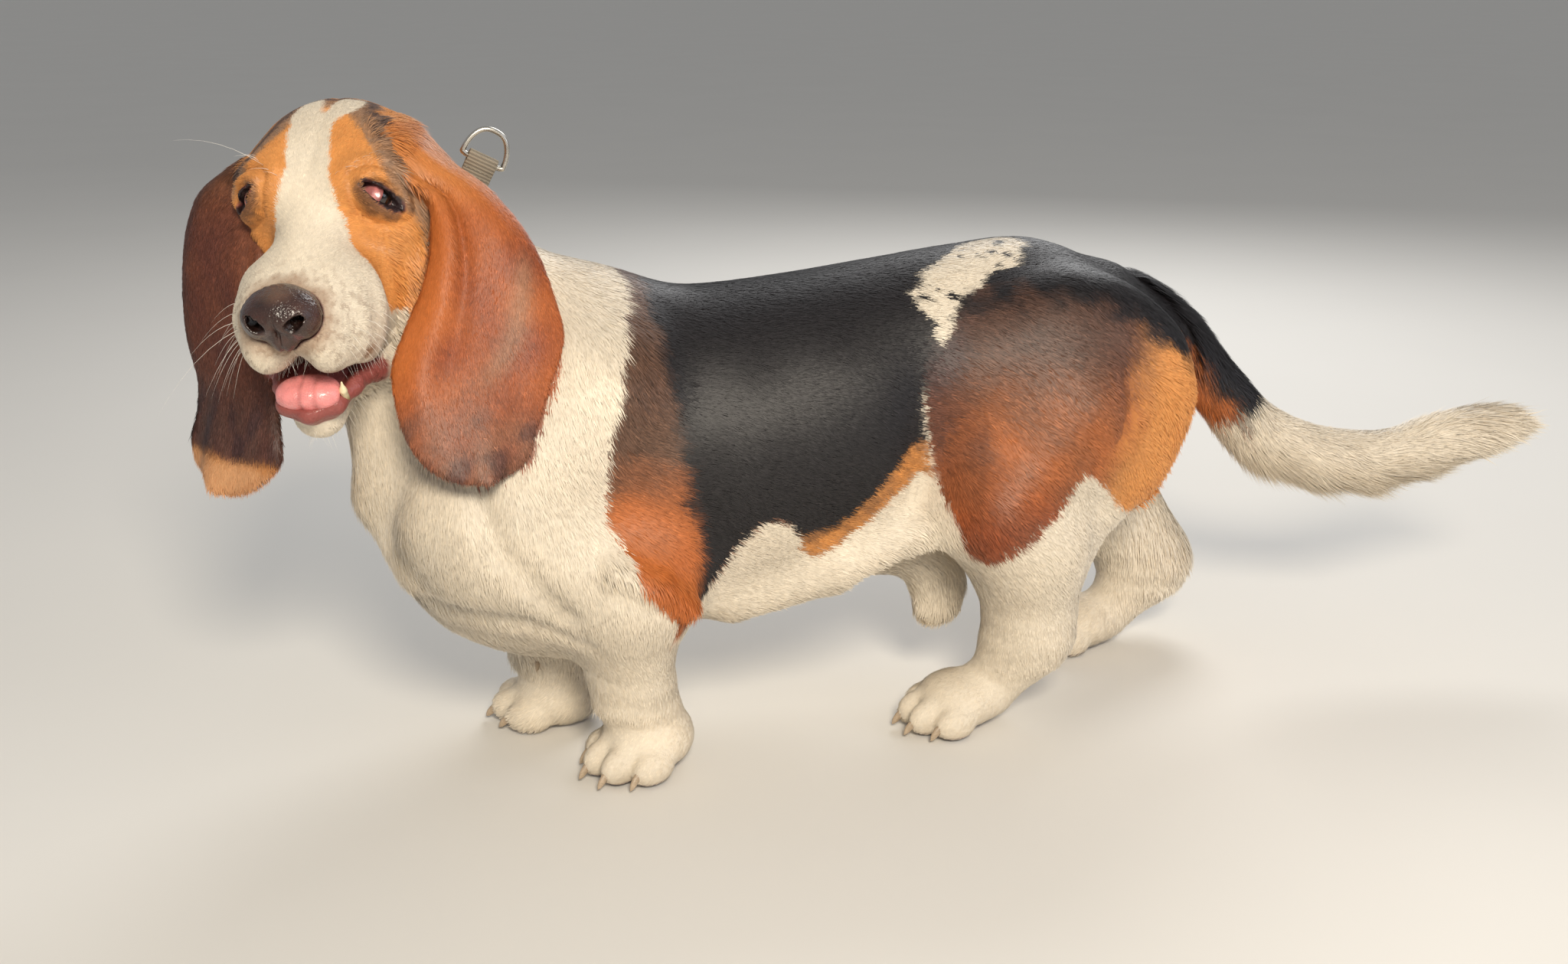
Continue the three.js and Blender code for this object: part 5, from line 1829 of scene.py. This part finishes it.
def make_nose():
    def colour(q):
        # Painted shade: the inside of the nostrils is coloured almost black.
        deep = ease(0.8, -0.6, NOSTRIL_CUTS(q))
        base = plain("nose", q) * (1 + 0.22 * waves(q, 7, 42))[:, None]
        base = layer(base, "ticking", 0.5 * ease(0, 6, q[:, 2]))
        return layer(base, np.array((0.003, 0.002, 0.002)), deep)
    material = membrane_surface("wet_nose_leather", 0.3, 900.0, 0.0005)
    formed_piece(
        "nose", nose_skin, (80, -30, -40), (128, 30, 12), NOSE_CELL, colour, material,
        ("nose",),
    )


def make_mouth():
    def tongue_colour(q):
        base = plain("tongue", q) * (1 + 0.05 * waves(q, 5, 44))[:, None]
        # Painted shade: the tongue's grooves and its rear, where it goes back into the mouth, are
        # darkened towards the lip's colour.
        groove = bell(q[:, 1] + 3, 1.8) + 0.8 * bell(q[:, 1] - 6, 1.8)
        base = layer(base, "lip", 0.28 * groove)
        return layer(base, "lip", 0.8 * ease(92, 84, q[:, 0]))

    def tooth_colour(q):
        return layer(plain(IVORY, q), TARTAR, ease(-78, -86, q[:, 2]))

    wet = membrane_surface("wet_tongue", 0.28, 1100.0)
    enamel = membrane_surface("stained_enamel", 0.2, 300.0)
    formed_piece(
        "tongue", tongue_form, (26, -32, -100), (116, 24, -60), TONGUE_CELL, tongue_colour, wet,
        ("tongue",),
    )
    formed_piece(
        "canine", CANINE, (84, 10, -92), (104, 30, -60), TOOTH_CELL, tooth_colour, enamel,
    )


# Whiskers, brow hairs and chin hairs: tapered strands

def strand_arrays(root, way, length, thick, droop, steps=7, sides=4):
    """A strand that leaves its root along a way and bends down to its fine tip."""
    way = unit(np.array(way, float))
    side = unit(np.cross(way, (0.13, 0.2, 1.0)))
    around = round_ways(sides, side, np.cross(way, side))
    rows = []
    for i in range(steps):
        t = i / (steps - 1)
        middle = np.array(root) + way * length * t - np.array((0, 0, 1.0)) * droop * length * t * t
        rows.append(middle + around * thick * (1 - 0.86 * t))
    points = np.concatenate(rows)
    faces = grid_faces(steps, sides)
    first = np.array([(0, 3, 2, 1)])
    last = first[:, ::-1] + (steps - 1) * sides
    return points, np.concatenate([faces, first, last])


def surface_at(q, way):
    """The nearest place on the face's skin from a place a little outside it."""
    q = np.array(q, float)
    for _ in range(24):
        here = head_skin(q[None])[0]
        q = q - unit(np.array(way, float)) * here * 0.8
    return q


WHISKER_SEED = 19
WHISKER_THICK = 0.13
LASH_THICK = 0.12


def make_whiskers():
    dice = np.random.default_rng(WHISKER_SEED)
    longest = bpy.context.scene.hound_sizes.whisker_length * 1000
    pale = shade("#F4EFE6")
    dark = shade("#241A18")
    strands = []
    for side in (1, -1):
        eye = "left" if side > 0 else "right"
        share = 0.5 if side > 0 else 1.0
        for row in range(4):
            for i in range(4):
                root = (92 - 12 * i + 3 * row, side * 46, -36 - 8 * row)
                out = (0.35 - 0.10 * i, side, -0.25 - 0.3 * row)
                length = longest * share * dice.uniform(0.3, 0.6 if row or i else 1.1)
                strands.append((root, out, out, length, WHISKER_THICK, 0.5, pale))
        for i in range(20):
            root = (108 - 3.4 * i, side * (2 + 1.6 * i), -112)
            way = (0.25, side * 0.3, -1)
            length = longest * dice.uniform(0.1, 0.26)
            strands.append((root, way, way, length, WHISKER_THICK, 0.1, pale))
        for i in range(30):
            root = (114 - 2.0 * i, side * (3 + 1.4 * i), -72)
            way = (0.5, side * 0.4, -0.9)
            length = longest * dice.uniform(0.08, 0.2)
            strands.append((root, way, way, length, WHISKER_THICK, 0.15, pale))
        for i in range(6):
            root = (8 - 5 * i, side * (28 + 4 * i), 34)
            way = (0.35, side * 0.6, 0.7)
            length = longest * (1.3 if side < 0 and i == 2 else dice.uniform(0.12, 0.3))
            strands.append((root, way, way, length, WHISKER_THICK, 0.3, pale))
        # Dark lashes on the upper lid, longest towards its outer corner
        axes = eye_axes(eye)
        for i in range(16):
            t = i / 15
            spot = np.array((-9 + 24 * t, 7.6 - 6.5 * t * t, 16))
            root = EYES[eye] + spot @ axes
            way = np.array((0.35 + 0.5 * t, -0.25 + 0.1 * t, 0.8)) @ axes
            length = dice.uniform(3.5, 5.0) + 2.5 * t
            strands.append((root, axes[2], way, length, LASH_THICK, 0.25, dark))
    points = []
    faces = []
    shades = []
    total = 0
    for root, inward, way, length, thick, droop, colour in strands:
        foot = surface_at(root, inward)
        turned = unit(np.array(way, float)) + dice.normal(0, 0.12, 3)
        p, f = strand_arrays(from_head(foot), turned @ HEAD_AXES, length, thick, droop)
        points.append(p)
        faces.append(f + total)
        shades.append(np.repeat(colour[None], len(p), 0))
        total += len(p)
    mesh = mesh_from("whiskers", to_row(np.concatenate(points)), np.concatenate(faces))
    set_colour(mesh, np.concatenate(shades))
    show(mesh, "whiskers", coat_hair())


# Claws: blunt curved horns, worn at the tip

CLAW_RADIUS = 3.9
CLAW_BEND = 2.2
DEW_RADIUS = 3.7
DEW_LENGTH = 18
WORN_LENGTH = 16
WORN_HORN = "#B9A48A"


def horn_surface():
    """Dull horn with fine lines along the claw, paler where it is worn."""
    made, tree = finish_named("worn_horn")
    place = add_node(tree, "ShaderNodeTexCoord").outputs["Object"]
    drawn = add_node(tree, "ShaderNodeMapping", {"Vector": place, "Scale": (240.0, 1400.0, 900.0)})
    lines = add_node(
        tree, "ShaderNodeTexNoise", {"Vector": drawn.outputs[0], "Scale": 1.0, "Detail": 3.0},
    ).outputs[0]
    bump = add_node(
        tree, "ShaderNodeBump", {"Height": lines, "Strength": 0.4, "Distance": 0.0002},
    )
    return end_with(made, {
        "Base Color": toned(tree, lines, 0.6, 1.35), "Roughness": 0.42,
        "Normal": bump.outputs[0], "IOR": 1.54,
    })


def claw_arrays(root, tip, radius, bend):
    """A curved horn from its root to its blunt tip, flattened at the sides."""
    root = np.array(root, float)
    tip = np.array(tip, float)
    way = unit(tip - root)
    side = unit(np.cross(way, (0, 0, 1.0)))
    up = np.cross(side, way)
    steps = 10
    sides = 12
    turn = np.linspace(0, 2 * math.pi, sides, endpoint=False)
    rows = []
    for t in np.linspace(0, 1, steps):
        middle = root + (tip - root) * t + up * bend * math.sin(math.pi * t)
        size = radius * math.sqrt(max(1 - t ** 2.4, 0)) + 0.05
        around = np.cos(turn)[:, None] * side * 0.72 + np.sin(turn)[:, None] * up
        rows.append(middle + around * size)
    points = np.concatenate([*rows, [root, tip]])
    faces = grid_faces(steps, sides).tolist()
    last = (steps - 1) * sides
    for j in range(sides):
        faces.append((j, (j + 1) % sides, steps * sides))
        faces.append((last + (j + 1) % sides, last + j, steps * sides + 1))
    return points, faces


def make_claws():
    material = horn_surface()
    for name, leg in LEGS.items():
        scale = leg["scale"]
        tips = []
        for i, (along, across, size) in enumerate(TOES):
            reach = along - 12 * size
            root = paw_point(leg, reach * scale + 4, across * scale, 14)
            tip = paw_point(leg, (reach - 13) * scale, across * scale * 1.08, 3.5)
            tips.append((f"claw_{name}_{i + 1}", root, tip, CLAW_RADIUS))
        if name in FORE:
            wrist = np.array(leg["wrist"], float)
            root = np.array((wrist[0] - 8, wrist[1] - leg["side"] * 22, 66))
            ahead = unit(np.array((-0.35, -leg["side"] * 0.6, -0.75)))
            tips.append((f"claw_{name}_dew", root, root + ahead * DEW_LENGTH, DEW_RADIUS))
        for node, root, tip, radius in tips:
            points, faces = claw_arrays(root, tip, radius, CLAW_BEND)
            mesh = bpy.data.meshes.new(node)
            mesh.from_pydata(to_row(points).tolist(), [], faces)
            face_out(mesh)
            p = to_dog(places_of(mesh))
            worn = clamp01(np.linalg.norm(p - np.array(root), axis=1) / WORN_LENGTH)
            set_colour(mesh, layer(plain("claw", p), WORN_HORN, worn))
            show(mesh, node, material, (node,))


# Collar: a woven band round the neck, its doubled tab and the steel ring

RING_PLACE = np.array((-84.0, 20.0, 439.0))
RING_ALONG = np.array((0.89, 0, -0.455))
RING_UP = np.array((0.455, 0, 0.89))
RING_HALF = 15.0
RING_HEIGHT = 21.0
RING_WIRE = 1.9
TAB_LENGTH = 34.0
BAND_SUNK = 4.0
LEFT_SUNK = 13.0
TAB_HALF = 10.5
BAND_THICK = 2.4
TAB_THICK = 1.7
RING_STEPS = 96
# Stitches, in millimetres on the tab, and the thread's own sizes in metres
STITCH_HEIGHTS = (-9.0, -13.0)
STITCH_HALF = 8.6
STITCH_LIFT = 0.95
STITCH_STRETCH = 2.6
STITCH_LENGTH = 0.0029
THREAD_RADIUS = 0.00042


def webbing_surface():
    """Worn woven webbing: ribs across the band, fine threads along it, darker in the hollows."""
    made, tree = finish_named("worn_webbing")
    weave = add_node(tree, "ShaderNodeUVMap", uv_map="weave").outputs[0]
    ribs = add_node(
        tree, "ShaderNodeTexWave",
        {"Vector": weave, "Scale": 130.0, "Distortion": 0.4, "Detail": 1.0},
        wave_type="BANDS", bands_direction="X",
    )
    threads = add_node(
        tree, "ShaderNodeTexWave",
        {"Vector": weave, "Scale": 450.0, "Distortion": 0.6, "Detail": 1.0},
        wave_type="BANDS", bands_direction="Y",
    )
    height = add_node(
        tree, "ShaderNodeMix",
        {"Factor": 0.35, "A": ribs.outputs["Fac"], "B": threads.outputs["Fac"]},
    ).outputs[0]
    colour = bpy.context.scene.hound_colours.webbing
    # The webbing is mixed darker in the hollows of its ribs and threads.
    darker_in_hollows = add_node(
        tree, "ShaderNodeMix", {0: height, 6: (*[c * 0.42 for c in colour], 1), 7: (*colour, 1)},
        data_type="RGBA",
    )
    place = add_node(tree, "ShaderNodeTexCoord").outputs["Object"]
    wear = add_node(tree, "ShaderNodeTexNoise", {"Vector": place, "Scale": 90.0, "Detail": 4.0})
    bump = add_node(
        tree, "ShaderNodeBump", {"Height": height, "Strength": 0.9, "Distance": 0.0006},
    )
    return end_with(made, {
        "Base Color": toned(tree, wear.outputs[0], 0.72, 1.28, darker_in_hollows.outputs[2]),
        "Roughness": 0.85, "Normal": bump.outputs[0],
    })


def steel_surface():
    """Bright drawn steel wire, with fine scratches and a little dullness from use."""
    made, tree = finish_named("bright_steel_wire")
    place = add_node(tree, "ShaderNodeTexCoord").outputs["Object"]
    scratches = add_node(
        tree, "ShaderNodeTexNoise", {"Vector": place, "Scale": 900.0, "Detail": 4.0},
    ).outputs[0]
    dull = add_node(
        tree, "ShaderNodeMapRange", {"Value": scratches, "To Min": 0.16, "To Max": 0.42},
    )
    bump = add_node(
        tree, "ShaderNodeBump", {"Height": scratches, "Strength": 0.15, "Distance": 0.0001},
    )
    return end_with(made, {
        "Base Color": (*bpy.context.scene.hound_colours.steel, 1), "Metallic": 1.0,
        "Roughness": dull.outputs[0], "Normal": bump.outputs[0],
    })


def weave_map(mesh, spots):
    """Lays the weave's own map on a mesh from a place for each point, in metres."""
    mesh.uv_layers.new(name="weave")
    corner = read(mesh.loops, "vertex_index", 1, np.int32).ravel()
    mesh.uv_layers["weave"].data.foreach_set("uv", spots[corner].astype(np.float32).ravel())


def strip_piece(name, middle, outward, across, half, thick, closed, material, replaced):
    """A strip of webbing with rounded edges along a path, with its weave map."""
    middle = np.array(middle)
    outward = np.array(outward)
    profile = [
        (-1, -0.3), (-0.97, -0.5), (0.97, -0.5), (1, -0.3),
        (1, 0.3), (0.97, 0.5), (-0.97, 0.5), (-1, 0.3),
    ]
    step = np.linalg.norm(np.diff(middle, axis=0), axis=1)
    run = np.concatenate([[0], np.cumsum(step)])
    points = []
    spots = []
    for centre, out, side, length in zip(middle, outward, across, run):
        for w, t in profile:
            points.append(centre + side * half * w + out * thick * t)
            spots.append((length / 1000, half * w / 1000))
    sides = len(profile)
    faces = grid_faces(len(middle), sides).tolist()
    last = (len(middle) - 1) * sides
    if closed:
        faces += [(last + j, last + (j + 1) % sides, (j + 1) % sides, j) for j in range(sides)]
    else:
        faces += [tuple(range(sides))[::-1], tuple(last + j for j in range(sides))]
    mesh = bpy.data.meshes.new(name)
    mesh.from_pydata(to_row(points).tolist(), [], faces)
    face_out(mesh)
    weave_map(mesh, np.array(spots))
    show(mesh, name, material, replaced)


def band_path():
    """The band's middle line, read from the reach of its solid round the neck's middle."""
    solid = to_dog(places_of(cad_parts["collar"].data))
    side = unit(np.cross(COLLAR_ARROW, (0, 1.0, 0)))
    rise = np.cross(side, COLLAR_ARROW)
    q = solid - COLLAR_CENTRE
    turn = np.arctan2(q @ rise, q @ side)
    reach = np.hypot(q @ side, q @ rise)
    along = q @ COLLAR_ARROW
    steps = np.linspace(-math.pi, math.pi, 144, endpoint=False)
    edges = []
    for edge in (-1, 1):
        mean = []
        for angle in steps:
            off = np.abs((turn - angle + math.pi) % (2 * math.pi) - math.pi)
            weight = bell(off, 0.16) * (along * edge > 0)
            mean.append((weight * reach).sum() / weight.sum())
        edges.append(np.array(mean))
    ways = np.cos(steps)[:, None] * side + np.sin(steps)[:, None] * rise
    half = COLLAR_WIDTH / 2
    low = COLLAR_CENTRE - COLLAR_ARROW * half + ways * edges[0][:, None]
    high = COLLAR_CENTRE + COLLAR_ARROW * half + ways * edges[1][:, None]
    # On the left the loose skin and the ear close over the band
    sunk = BAND_SUNK + LEFT_SUNK * ease(-0.05, 0.45, -ways[:, 1])
    middle = (low + high) / 2 - ways * sunk[:, None]
    across = unit(high - low)
    outward = unit(ways - (ways * across).sum(1, keepdims=True) * across)
    return middle, outward, across


def tab_gap(height):
    """Half the gap between the tab's two layers, which part round the ring's bar."""
    return 1.25 + 1.65 * ease(-11, -2.5, height)


def tab_path():
    """The tab's webbing: up the front, round the ring's bar and down the back."""
    deep = unit(np.cross(RING_ALONG, RING_UP))
    height = np.linspace(4.5 - TAB_LENGTH, -2.5, 14)
    apart = tab_gap(height)
    front = [(-a, h) for a, h in zip(apart, height)]
    turn = np.linspace(math.pi, 0, 15)[1:-1]
    over = [(2.95 * math.cos(t), 2.95 * math.sin(t)) for t in turn]
    back = [(a, h) for a, h in zip(apart[::-1], height[::-1])]
    flat = np.array([*front, *over, *back])
    way = unit(np.gradient(flat, axis=0))
    out = np.stack([-way[:, 1], way[:, 0]], 1)
    middle = RING_PLACE + flat[:, :1] * deep + flat[:, 1:] * RING_UP
    outward = out[:, :1] * deep + out[:, 1:] * RING_UP
    return middle, outward, np.repeat(RING_ALONG[None], len(flat), 0)


def evaluated_piece(holder, name, material, replaced=()):
    """Turns what the nodes make into a plain mesh and shows it as a piece."""
    mesh = baked(holder)
    discard(holder)
    if not len(mesh.polygons):
        raise RuntimeError(f"The nodes made nothing for {name}")
    show(mesh, name, material, replaced)


def nodes_on(name, points, edges, tree, values):
    """A holder mesh with a Geometry Nodes modifier whose inputs are set by identifier."""
    mesh = bpy.data.meshes.new(name)
    mesh.from_pydata(to_row(points).tolist(), edges, [])
    holder = placed(name, mesh)
    modifier = holder.modifiers.new("nodes", "NODES")
    modifier.node_group = tree
    for item in tree.interface.items_tree:
        if item.item_type == "SOCKET" and item.in_out == "INPUT" and item.name in values:
            modifier[item.identifier] = values[item.name]
    return holder


def start_tree(name, inputs):
    """A tree with its named inputs, and the curves along the holder's edges."""
    tree = bpy.data.node_groups.new(f"{PREFIX}_{name}", "GeometryNodeTree")
    tree.interface.new_socket("Geometry", in_out="INPUT", socket_type="NodeSocketGeometry")
    for key, kind in inputs.items():
        tree.interface.new_socket(key, in_out="INPUT", socket_type=kind)
    tree.interface.new_socket("Geometry", in_out="OUTPUT", socket_type="NodeSocketGeometry")
    start = add_node(tree, "NodeGroupInput").outputs
    line = add_node(tree, "GeometryNodeMeshToCurve", {"Mesh": start["Geometry"]})
    return tree, start, line.outputs[0]


def end_tree(tree, shape, material):
    """Makes copies real, sets the material and gives the finished tree."""
    real = add_node(tree, "GeometryNodeRealizeInstances", {"Geometry": shape})
    dressed = add_node(
        tree, "GeometryNodeSetMaterial", {"Geometry": real.outputs[0], "Material": material},
    )
    add_node(tree, "NodeGroupOutput", {"Geometry": dressed.outputs[0]})
    return tree


def wire_tree(material):
    """Sweeps a round wire along the holder's edges."""
    inputs = {"Wire radius": "NodeSocketFloat", "Sides": "NodeSocketInt"}
    tree, start, line = start_tree("wire", inputs)
    section = add_node(
        tree, "GeometryNodeCurvePrimitiveCircle",
        {"Radius": start["Wire radius"], "Resolution": start["Sides"]},
    )
    swept = add_node(
        tree, "GeometryNodeCurveToMesh",
        {"Curve": line, "Profile Curve": section.outputs["Curve"]},
    )
    return end_tree(tree, swept.outputs[0], material)


def stitch_tree(material):
    """Lays short fat threads in a row along each of the holder's edges."""
    inputs = {"Thread radius": "NodeSocketFloat", "Stitch length": "NodeSocketFloat"}
    tree, start, line = start_tree("stitches", inputs)
    spots = add_node(
        tree, "GeometryNodeCurveToPoints", {"Curve": line, "Length": start["Stitch length"]},
        mode="LENGTH",
    )
    thread = add_node(
        tree, "GeometryNodeMeshUVSphere",
        {"Segments": 8, "Rings": 6, "Radius": start["Thread radius"]},
    )
    longer = add_node(
        tree, "GeometryNodeTransform",
        {"Geometry": thread.outputs["Mesh"], "Scale": (1.0, 1.0, STITCH_STRETCH)},
    )
    laid = add_node(tree, "GeometryNodeInstanceOnPoints", {
        "Points": spots.outputs["Points"], "Instance": longer.outputs[0],
        "Rotation": spots.outputs["Rotation"],
    })
    return end_tree(tree, laid.outputs[0], material)


def thread_surface():
    """Sewing thread, a little darker than the webbing and fuzzy."""
    made, tree = finish_named("sewing_thread")
    place = add_node(tree, "ShaderNodeTexCoord").outputs["Object"]
    fuzz = add_node(
        tree, "ShaderNodeTexNoise", {"Vector": place, "Scale": 1400.0, "Detail": 2.0},
    ).outputs[0]
    shades = add_node(tree, "ShaderNodeValToRGB", {"Fac": fuzz})
    shades.color_ramp.elements[0].color = (*linear("#4E483F"), 1)
    shades.color_ramp.elements[1].color = (*linear("#A39A8A"), 1)
    bump = add_node(
        tree, "ShaderNodeBump", {"Height": fuzz, "Strength": 0.5, "Distance": 0.0002},
    )
    return end_with(made, {
        "Base Color": shades.outputs[0], "Roughness": 0.9, "Normal": bump.outputs[0],
    })


def ring_line():
    """Points of the ring: an arch of wire over a nearly straight bar."""
    turn = np.linspace(0, 2 * math.pi, RING_STEPS, endpoint=False)
    side = np.sign(np.cos(turn)) * np.abs(np.cos(turn)) ** 0.8 * RING_HALF
    rise = np.sin(turn) * np.where(np.sin(turn) > 0, RING_HEIGHT, 2.0)
    return RING_PLACE + side[:, None] * RING_ALONG + rise[:, None] * RING_UP


def stitch_lines():
    """Ends of two rows of stitches on each face of the tab."""
    deep = unit(np.cross(RING_ALONG, RING_UP))
    ends = []
    for face in (-1, 1):
        for height in STITCH_HEIGHTS:
            lift = face * float(tab_gap(np.array(height)) + STITCH_LIFT)
            for along in (-STITCH_HALF, STITCH_HALF):
                spot = RING_PLACE + RING_ALONG * along + RING_UP * height
                ends.append(spot + deep * lift)
    return ends


def make_collar():
    webbing = webbing_surface()
    half = bpy.context.scene.hound_sizes.collar_width * 500
    strip_piece(
        "collar_band", *band_path(), half, BAND_THICK, True, webbing, ("collar",),
    )
    strip_piece(
        "collar_tab", *tab_path(), TAB_HALF, TAB_THICK, False, webbing, ("collar_tab",),
    )
    steel = steel_surface()
    edges = [(i, (i + 1) % RING_STEPS) for i in range(RING_STEPS)]
    sizes = {"Wire radius": RING_WIRE / 1000, "Sides": 20}
    holder = nodes_on("ring_line", ring_line(), edges, wire_tree(steel), sizes)
    evaluated_piece(holder, "collar_ring", steel, ("collar_ring",))
    thread = thread_surface()
    ends = stitch_lines()
    edges = [(i, i + 1) for i in range(0, len(ends), 2)]
    sizes = {"Thread radius": THREAD_RADIUS, "Stitch length": STITCH_LENGTH}
    holder = nodes_on("stitch_lines", ends, edges, stitch_tree(thread), sizes)
    evaluated_piece(holder, "collar_stitches", thread)


# Stage: pale floor, soft lights and the camera at the photo's viewing angle

CAMERA_PLACE = (-213.7, -1115.0, 570.0)
CAMERA_TURN = 17
CAMERA_DIP = 18
CAMERA_FOCUS = 2100
SENSOR_WIDTH = 36
FLOOR_HALF = 45.0
# Name, place beside the dog's middle, size, power and colour
LIGHTS = [
    ("key", (-0.35, -1.85, 1.45), 0.6, 43, "#FFF4E2"),
    ("fill", (1.9, -1.5, 1.1), 1.6, 10, "#E6EDFF"),
    ("rim", (0.9, 1.5, 1.6), 1.2, 24, "#FFFFFF"),
]
STUDIO_COLOUR = "#E9EBEE"
STUDIO_STRENGTH = 0.4


def plain_floor():
    """Matt pale floor with the faintest mottling, so that it is not a dead flat tone."""
    made, tree = finish_named("pale_floor")
    place = add_node(tree, "ShaderNodeTexCoord").outputs["Object"]
    mottle = add_node(tree, "ShaderNodeTexNoise", {"Vector": place, "Scale": 3.0, "Detail": 3.0})
    colour = bpy.context.scene.hound_colours.floor
    soft = add_node(
        tree, "ShaderNodeMix",
        {0: mottle.outputs[0], 6: (*[c * 0.96 for c in colour], 1), 7: (*colour, 1)},
        data_type="RGBA",
    )
    return end_with(made, {
        "Base Color": soft.outputs[2], "Roughness": 0.9, "Specular IOR Level": 0.2,
    })


def area_light(name, place, aim, size, power, colour):
    light = bpy.data.lights.new(f"{PREFIX}_{name}", "AREA")
    light.shape = "DISK"
    light.size = size
    light.energy = power
    light.color = linear(colour)
    lamp = placed(f"{PREFIX}_{name}", light)
    lamp.location = place
    lamp.rotation_euler = (Vector(aim) - Vector(place)).to_track_quat("-Z", "Y").to_euler()


def make_stage():
    scene = bpy.context.scene
    corners = np.array([(-1, -1, 0), (1, -1, 0), (1, 1, 0), (-1, 1, 0)]) * FLOOR_HALF
    mesh = mesh_from("floor", corners, np.array([(0, 1, 2, 3)]))
    floor = placed(f"{PREFIX}_floor", mesh)
    mesh.materials.append(plain_floor())
    middle = np.mean(np.array(CAD_BOX, float).reshape(2, 3), axis=0)
    for name, (aside, depth, height), size, power, colour in LIGHTS:
        area_light(name, (middle[0] + aside, depth, height), middle, size, power, colour)
    world = bpy.data.worlds.new(f"{PREFIX}_studio")
    world.use_nodes = True
    back = world.node_tree.nodes["Background"]
    back.inputs["Color"].default_value = (*linear(STUDIO_COLOUR), 1)
    back.inputs["Strength"].default_value = STUDIO_STRENGTH
    scene.world = world
    scene.view_settings.view_transform = "Standard"
    camera = bpy.data.cameras.new(f"{PREFIX}_camera")
    camera.sensor_width = SENSOR_WIDTH
    camera.lens = CAMERA_FOCUS / PHOTO_SIZE[0] * SENSOR_WIDTH
    camera.clip_start = 0.05
    camera.clip_end = 120
    lens = placed(f"{PREFIX}_camera", camera)
    turn = math.radians(CAMERA_TURN)
    dip = math.radians(CAMERA_DIP)
    ahead = Vector((math.sin(turn) * math.cos(dip), math.cos(turn) * math.cos(dip), -math.sin(dip)))
    lens.location = to_row(CAMERA_PLACE)
    lens.rotation_euler = ahead.to_track_quat("-Z", "Y").to_euler()
    scene.camera = lens


# Operators, panel and registration

class HOUND_OT_stage(bpy.types.Operator):
    """Lay the floor, hang the lights and set up the camera"""
    bl_idname = "hound.stage"
    bl_label = "Stage"

    def execute(self, context):
        make_stage()
        return {"FINISHED"}


class HOUND_OT_skin(bpy.types.Operator):
    """Make the one skin over the flesh, with its markings"""
    bl_idname = "hound.skin"
    bl_label = "Skin"

    def execute(self, context):
        make_skin()
        return {"FINISHED"}


class HOUND_OT_coat(bpy.types.Operator):
    """Grow the coat's tufts on the skin"""
    bl_idname = "hound.coat"
    bl_label = "Coat"

    def execute(self, context):
        make_coat(bpy.data.objects[f"{PREFIX}_skin"])
        return {"FINISHED"}


class HOUND_OT_eyes(bpy.types.Operator):
    """Set both eyeballs and third eyelids in their sockets"""
    bl_idname = "hound.eyes"
    bl_label = "Eyes"

    def execute(self, context):
        make_eyes()
        return {"FINISHED"}


class HOUND_OT_nose(bpy.types.Operator):
    """Make the nose leather with its nostrils"""
    bl_idname = "hound.nose"
    bl_label = "Nose"

    def execute(self, context):
        make_nose()
        return {"FINISHED"}


class HOUND_OT_mouth(bpy.types.Operator):
    """Make the tongue and the tooth that shows"""
    bl_idname = "hound.mouth"
    bl_label = "Mouth"

    def execute(self, context):
        make_mouth()
        return {"FINISHED"}


class HOUND_OT_whiskers(bpy.types.Operator):
    """Set the whiskers, brow hairs and chin hairs"""
    bl_idname = "hound.whiskers"
    bl_label = "Whiskers"

    def execute(self, context):
        make_whiskers()
        return {"FINISHED"}


class HOUND_OT_claws(bpy.types.Operator):
    """Make the claws and dewclaws"""
    bl_idname = "hound.claws"
    bl_label = "Claws"

    def execute(self, context):
        make_claws()
        return {"FINISHED"}


class HOUND_OT_collar(bpy.types.Operator):
    """Make the collar's band, tab, stitches and ring"""
    bl_idname = "hound.collar"
    bl_label = "Collar"

    def execute(self, context):
        make_collar()
        return {"FINISHED"}


OPERATORS = [
    HOUND_OT_stage, HOUND_OT_skin, HOUND_OT_coat, HOUND_OT_eyes, HOUND_OT_nose, HOUND_OT_mouth,
    HOUND_OT_whiskers, HOUND_OT_claws, HOUND_OT_collar,
]


class HOUND_PT_panel(bpy.types.Panel):
    """Sizes, colours and steps of the hound"""
    bl_label = "Hound"
    bl_idname = "HOUND_PT_panel"
    bl_space_type = "VIEW_3D"
    bl_region_type = "UI"
    bl_category = "Hound"

    def draw(self, context):
        for group in (context.scene.hound_sizes, context.scene.hound_colours):
            box = self.layout.box()
            for name in group.__annotations__:
                box.prop(group, name)
        for operator in OPERATORS:
            self.layout.operator(operator.bl_idname)


CLASSES = [HoundColours, HoundSizes, *OPERATORS, HOUND_PT_panel]


def register():
    for each in CLASSES:
        bpy.utils.register_class(each)
    bpy.types.Scene.hound_colours = bpy.props.PointerProperty(type=HoundColours)
    bpy.types.Scene.hound_sizes = bpy.props.PointerProperty(type=HoundSizes)


def unregister():
    del bpy.types.Scene.hound_sizes
    del bpy.types.Scene.hound_colours
    for each in reversed(CLASSES):
        bpy.utils.unregister_class(each)


def main():
    register()
    bpy.ops.hound.stage()
    bpy.ops.hound.skin()
    bpy.ops.hound.coat()
    bpy.ops.hound.eyes()
    bpy.ops.hound.nose()
    bpy.ops.hound.mouth()
    bpy.ops.hound.whiskers()
    bpy.ops.hound.claws()
    bpy.ops.hound.collar()


if __name__ == "__main__":
    main()
